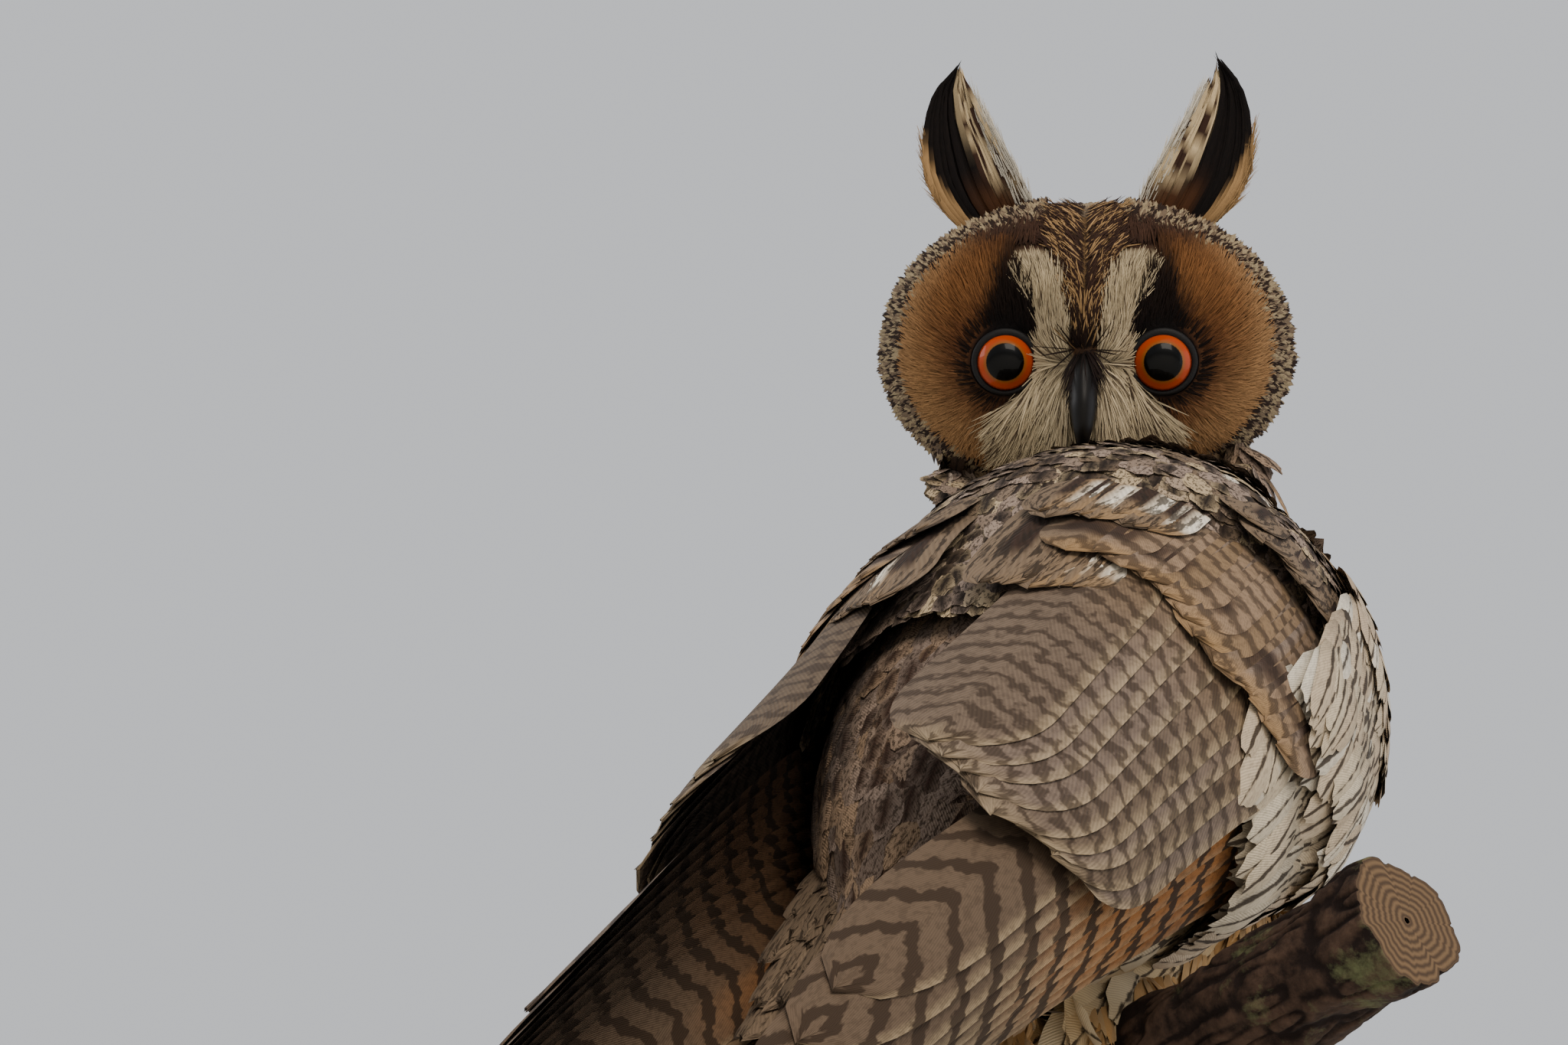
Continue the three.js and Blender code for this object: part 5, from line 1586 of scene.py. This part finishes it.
def barkMaterial():
    material, tree, shader = newMaterial("rough_bark", {"Roughness": 0.92, "Specular IOR Level": 0.2})
    spot = addNode(tree, "TexCoord")["Object"]
    place = addNode(tree, "Attribute", {"attribute_name": "place"})["Vector"]
    relief, sawn, reach = addNode(tree, "SeparateXYZ", {}, {0: place})
    # Crumbs of bark 2 to 3 mm wide, with finer cracks inside them
    grain = addNode(tree, "TexNoise", {},
                    {"Vector": spot, "Scale": 420.0, "Detail": 8.0, "Roughness": 0.7})[0]
    # Darker where the relief sinks into cracks and paler on the raised plates: partly the bark's own tone,
    # partly painted shade in the cracks
    depth = addNode(tree, "Math", {"operation": "MULTIPLY_ADD"}, {0: relief, 1: 0.5, 2: grain})[0]
    ridge = addNode(tree, "MapRange", {}, {"Value": depth, "From Min": 0.35, "From Max": 1.0})[0]
    bark = addNode(tree, "Mix", {"data_type": "RGBA"},
                   {0: ridge, 6: rgba(linear("#1C1310")), 7: rgba(linear("#5A4639"))})[2]
    # Lichen grows in patches a few millimetres to a few centimetres wide
    patches = addNode(tree, "TexNoise", {},
                      {"Vector": spot, "Scale": 60.0, "Detail": 7.0, "Roughness": 0.72})[0]
    grown = addNode(tree, "MapRange", {}, {"Value": patches, "From Min": 0.55, "From Max": 0.66})[0]
    held = addNode(tree, "Math", {"operation": "MULTIPLY"}, {0: grown, 1: 0.65})[0]
    mossed = addNode(tree, "Mix", {"data_type": "RGBA"},
                     {0: held, 6: bark, 7: rgba(linear("#6E7350"))})[2]
    # Growth rings about a millimetre and a half apart on the sawn ends
    turned = addNode(tree, "Math", {"operation": "MULTIPLY_ADD"}, {0: reach, 1: 50.0, 2: grain})[0]
    rings = addNode(tree, "Math", {"operation": "SINE"}, {0: turned})[0]
    ringed = addNode(tree, "MapRange", {}, {"Value": rings, "From Min": -1.0, "From Max": 1.0})[0]
    wood = addNode(tree, "Mix", {"data_type": "RGBA"},
                   {0: ringed, 6: rgba(linear("#46372A")), 7: rgba(linear("#6E5840"))})[2]
    final = addNode(tree, "Mix", {"data_type": "RGBA"}, {0: sawn, 6: mossed, 7: wood})[2]
    tree.links.new(final, shader.inputs["Base Color"])
    bumps = addNode(tree, "Bump", {}, {"Strength": 0.7, "Distance": 0.0006, "Height": grain})[0]
    tree.links.new(bumps, shader.inputs["Normal"])
    return material


def cloud(t, angle, cellsLong, cellsRound):
    # Smooth random heights on the branch's surface, closed round it
    table = rng.random((cellsLong + 2, cellsRound))
    lengthwise = (t / perch["length"] + 0.5) * cellsLong
    around = (angle / (2 * math.pi)) % 1 * cellsRound
    i = np.clip(np.floor(lengthwise).astype(int), 0, cellsLong)
    j = np.floor(around).astype(int) % cellsRound
    a, b = ease(lengthwise - i, 0, 1), ease(around - np.floor(around), 0, 1)
    after = (j + 1) % cellsRound
    near = table[i, j] + (table[i, after] - table[i, j]) * b
    far = table[i + 1, j] + (table[i + 1, after] - table[i + 1, j]) * b
    return near + (far - near) * a


def addPerch():
    half = perch["length"] / 2
    t = np.linspace(-half, half, perch["rows"])
    angle = np.linspace(0, 2 * math.pi, perch["sides"], endpoint=False)
    t, angle = np.meshgrid(t, angle, indexing="ij")
    wander = angle + 0.35 * cloud(t, angle, 9, 5) + 0.1 * cloud(t, angle, 40, 18)
    plates = cloud(t, wander, 26, 22)
    cracks = np.abs(cloud(t, wander, 22, 30) - 0.5) * 2
    fine = cloud(t, wander, 150, 70)
    relief = 0.75 * plates + 0.7 * ease(cracks, 0.02, 0.4) + 0.3 * fine
    relief -= relief.mean()
    gripped = (np.abs(np.abs(t) - feet["spread"]) < 13) * (np.cos(angle) > -0.4)
    rings = perchPoint(t, angle, np.where(gripped, 0.35, 0.85) * relief - 0.1)
    middle = [perchCentre(np.array([end]))[0] for end in (-half, half)]
    inward = np.array(perch["sawn"])[:, None, None]
    cut = len(inward)
    lowEnd = (middle[0] + (rings[0] - middle[0]) * inward)[::-1]
    highEnd = middle[1] + (rings[-1] - middle[1]) * inward
    whole = np.concatenate([lowEnd, rings, highEnd])
    place = np.zeros(whole.shape)
    place[cut:-cut, :, 0] = relief
    place[:cut, :, 1] = place[-cut:, :, 1] = 1
    place[:cut, :, 2] = inward[::-1, :, 0]
    place[-cut:, :, 2] = inward[:, :, 0]
    points, quads = loft(whole, closedEnds=False)
    addPiece("cut_branch", points, quads, barkMaterial(), ["perch"],
             layers={"place": place.reshape(-1, 3)})
    print("perch", len(points))


# Stand: a turned base of dark stained wood and two blackened steel rods

stand = {"radius": 82, "thickness": 12, "rod": 3.5, "spread": 46}


def lathe(profile, centre, sides=128):
    angle = np.linspace(0, 2 * math.pi, sides, endpoint=False)
    profile = np.array(profile, float)
    rings = np.stack([profile[:, :1] * np.cos(angle), profile[:, :1] * np.sin(angle),
                      np.repeat(profile[:, 1:], sides, 1)], -1)
    return loft(np.asarray(centre, float) + rings)


def addStand():
    # Satin varnish over straight dark grain, 1.1 mm wide and 17 mm long
    wood = grainedMaterial(
        "stained_oak",
        {"Roughness": 0.42, "Specular IOR Level": 0.45, "Coat Weight": 0.25, "Coat Roughness": 0.2},
        (60, 900, 900), 5.0, ("#1F140D", "#5B3E28"), (0.25, 0.0003))
    r, top = stand["radius"], stand["thickness"]
    profile = [
        (r - 3, 0), (r - 1, 0.4), (r, 1.6), (r, 4.6), (r - 1.2, 5), (r - 1.6, 5.8), (r - 1.2, 6.6),
        (r - 0.6, 7), (r - 0.6, 8.5), (r - 1.4, 10.4), (r - 3, 11.6), (r - 5, top), (r - 11, top),
        (r - 11.4, top - 0.6), (r - 12.6, top - 0.6), (r - 13, top), (12, top),
    ]
    points, quads = lathe(profile, (0, 0, 0), 256)
    addPiece("turned_base", points, quads, wood, ["stand_base"])

    # Oiled and drawn, with faint lines 0.4 mm apart along it
    steel = grainedMaterial("blackened_steel", {"Metallic": 1.0, "Roughness": 0.38}, (2500, 2500, 60), 2.0,
                            ("#2A2A2C", "#5A5A5C"))
    r = stand["rod"]
    for name, side in (("right", 1), ("left", -1)):
        low = stand["thickness"] + 0.3
        high = perchCentre(np.array([side * stand["spread"]]))[0, 2] - 6
        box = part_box(f"stand_rod_{name}")
        foot = [(box[0][k] + box[1][k]) / 2 / mm for k in (0, 1)]
        profile = [
            (r - 0.7, low - 6), (r, low - 5.8), (r, low), (r + 4.5, low), (r + 5, low + 0.5),
            (r + 5, low + 1.4), (r + 4.4, low + 2), (r + 0.9, low + 2.3), (r + 0.2, low + 3.2), (r, low + 5),
            (r, high), (r - 0.5, high + 0.5),
        ]
        points, quads = lathe(profile, (*foot, 0), 48)
        addPiece(f"rod_{name}", points, quads, steel, [f"stand_rod_{name}"])
    print("stand")


def addStage():
    # Matt paper with fibres clumped every 2.5 mm
    floor = grainedMaterial("pale_paper_floor", {"Roughness": 0.9, "Specular IOR Level": 0.2},
                            (400, 400, 400), 3.0, ("#DEDBD4", "#E6E3DC"))
    mesh = bpy.data.meshes.new("floor")
    mesh.from_pydata([(-6, -6, 0), (6, -6, 0), (6, 6, 0), (-6, 6, 0)], [], [(0, 1, 2, 3)])
    mesh.materials.append(floor)
    plane = addObject("floor", mesh)
    plane.location.z = -0.0003

    world = bpy.data.worlds.new("soft studio")
    bpy.context.scene.world = world
    world.use_nodes = True
    world.node_tree.nodes["Background"].inputs["Color"].default_value = rgba(linear("#E8EAEE"))
    world.node_tree.nodes["Background"].inputs["Strength"].default_value = 0.85
    lights = {
        "key": {"at": (-0.55, 0.75, 0.75), "size": 0.6, "power": 10, "colour": "#FFF4E6"},
        "fill": {"at": (-0.95, -0.35, 0.35), "size": 0.8, "power": 2.5, "colour": "#F2F5FF"},
        "rim": {"at": (0.8, 0.2, 0.75), "size": 0.5, "power": 4, "colour": "#FFFFFF"},
    }
    for name, look in lights.items():
        data = bpy.data.lights.new(name, "AREA")
        data.size = look["size"]
        data.energy = look["power"]
        data.color = linear(look["colour"])
        lamp = addObject(name, data)
        lamp.location = look["at"]
        aim = Vector((0, 0, 0.22)) - Vector(look["at"])
        lamp.rotation_euler = aim.to_track_quat("-Z", "Y").to_euler()


view = {"distance": 500, "focal": 2640, "eyesAt": (1416, 473), "size": (2048, 1365), "sensor": 36}


def addCamera():
    # Below and behind the bird, turned until both eyes fall level on their pixels in the photograph
    spot = headCentre + faceOut * view["distance"]
    eyeSpots = headPlace(np.array([-0.5, 0.5]) * eyes["spacing"], -eyes["drop"], eyeDepth + eyes["radius"])
    heading = math.atan2(-faceOut[0], -faceOut[1])
    rise = math.asin(-faceOut[2])
    roll = 0
    for _ in range(60):
        flat = math.cos(rise)
        ahead = np.array([math.sin(heading) * flat, math.cos(heading) * flat, math.sin(rise)])
        level = unit(np.cross(ahead, [0, 0, 1]))
        right = level * math.cos(roll) + np.cross(level, ahead) * math.sin(roll)
        up = np.cross(right, ahead)
        seen = eyeSpots - spot
        x = view["size"][0] / 2 + view["focal"] * (seen @ right) / (seen @ ahead)
        y = view["size"][1] / 2 - view["focal"] * (seen @ up) / (seen @ ahead)
        heading += 0.5 * (x.mean() - view["eyesAt"][0]) / view["focal"]
        rise -= 0.5 * (y.mean() - view["eyesAt"][1]) / view["focal"]
        roll -= 0.5 * (y[0] - y[1]) / (x[0] - x[1])
    data = bpy.data.cameras.new("photo view")
    data.sensor_width = view["sensor"]
    data.lens = view["focal"] / view["size"][0] * view["sensor"]
    data.clip_start = 0.01
    camera = addObject("photo view", data)
    turned = Matrix((right, up, -ahead)).transposed().to_4x4()
    turned.translation = Vector(spot * mm)
    camera.matrix_world = turned
    bpy.context.scene.camera = camera
    print("camera", np.round(spot, 1), "lens", round(data.lens, 1), "roll", round(roll / degree, 2))


addCamera()
addStage()
skin = addSkin()
addBodyCoat(skin)
addNeckCoat(skin)
addCrown(skin)
addCheeks()
addDisc()
addBands()
addStripe()
addRuff()
addTufts()
addEyes()
addBill()
addClaws()
for wingName, wingSide in (("right", 1), ("left", -1)):
    addWing(wingName, wingSide, skin)
    addMantle(wingName, wingSide)
    addFlank(wingName, wingSide)
addTail()
addLegCoat(skin)
addPerch()
addStand()
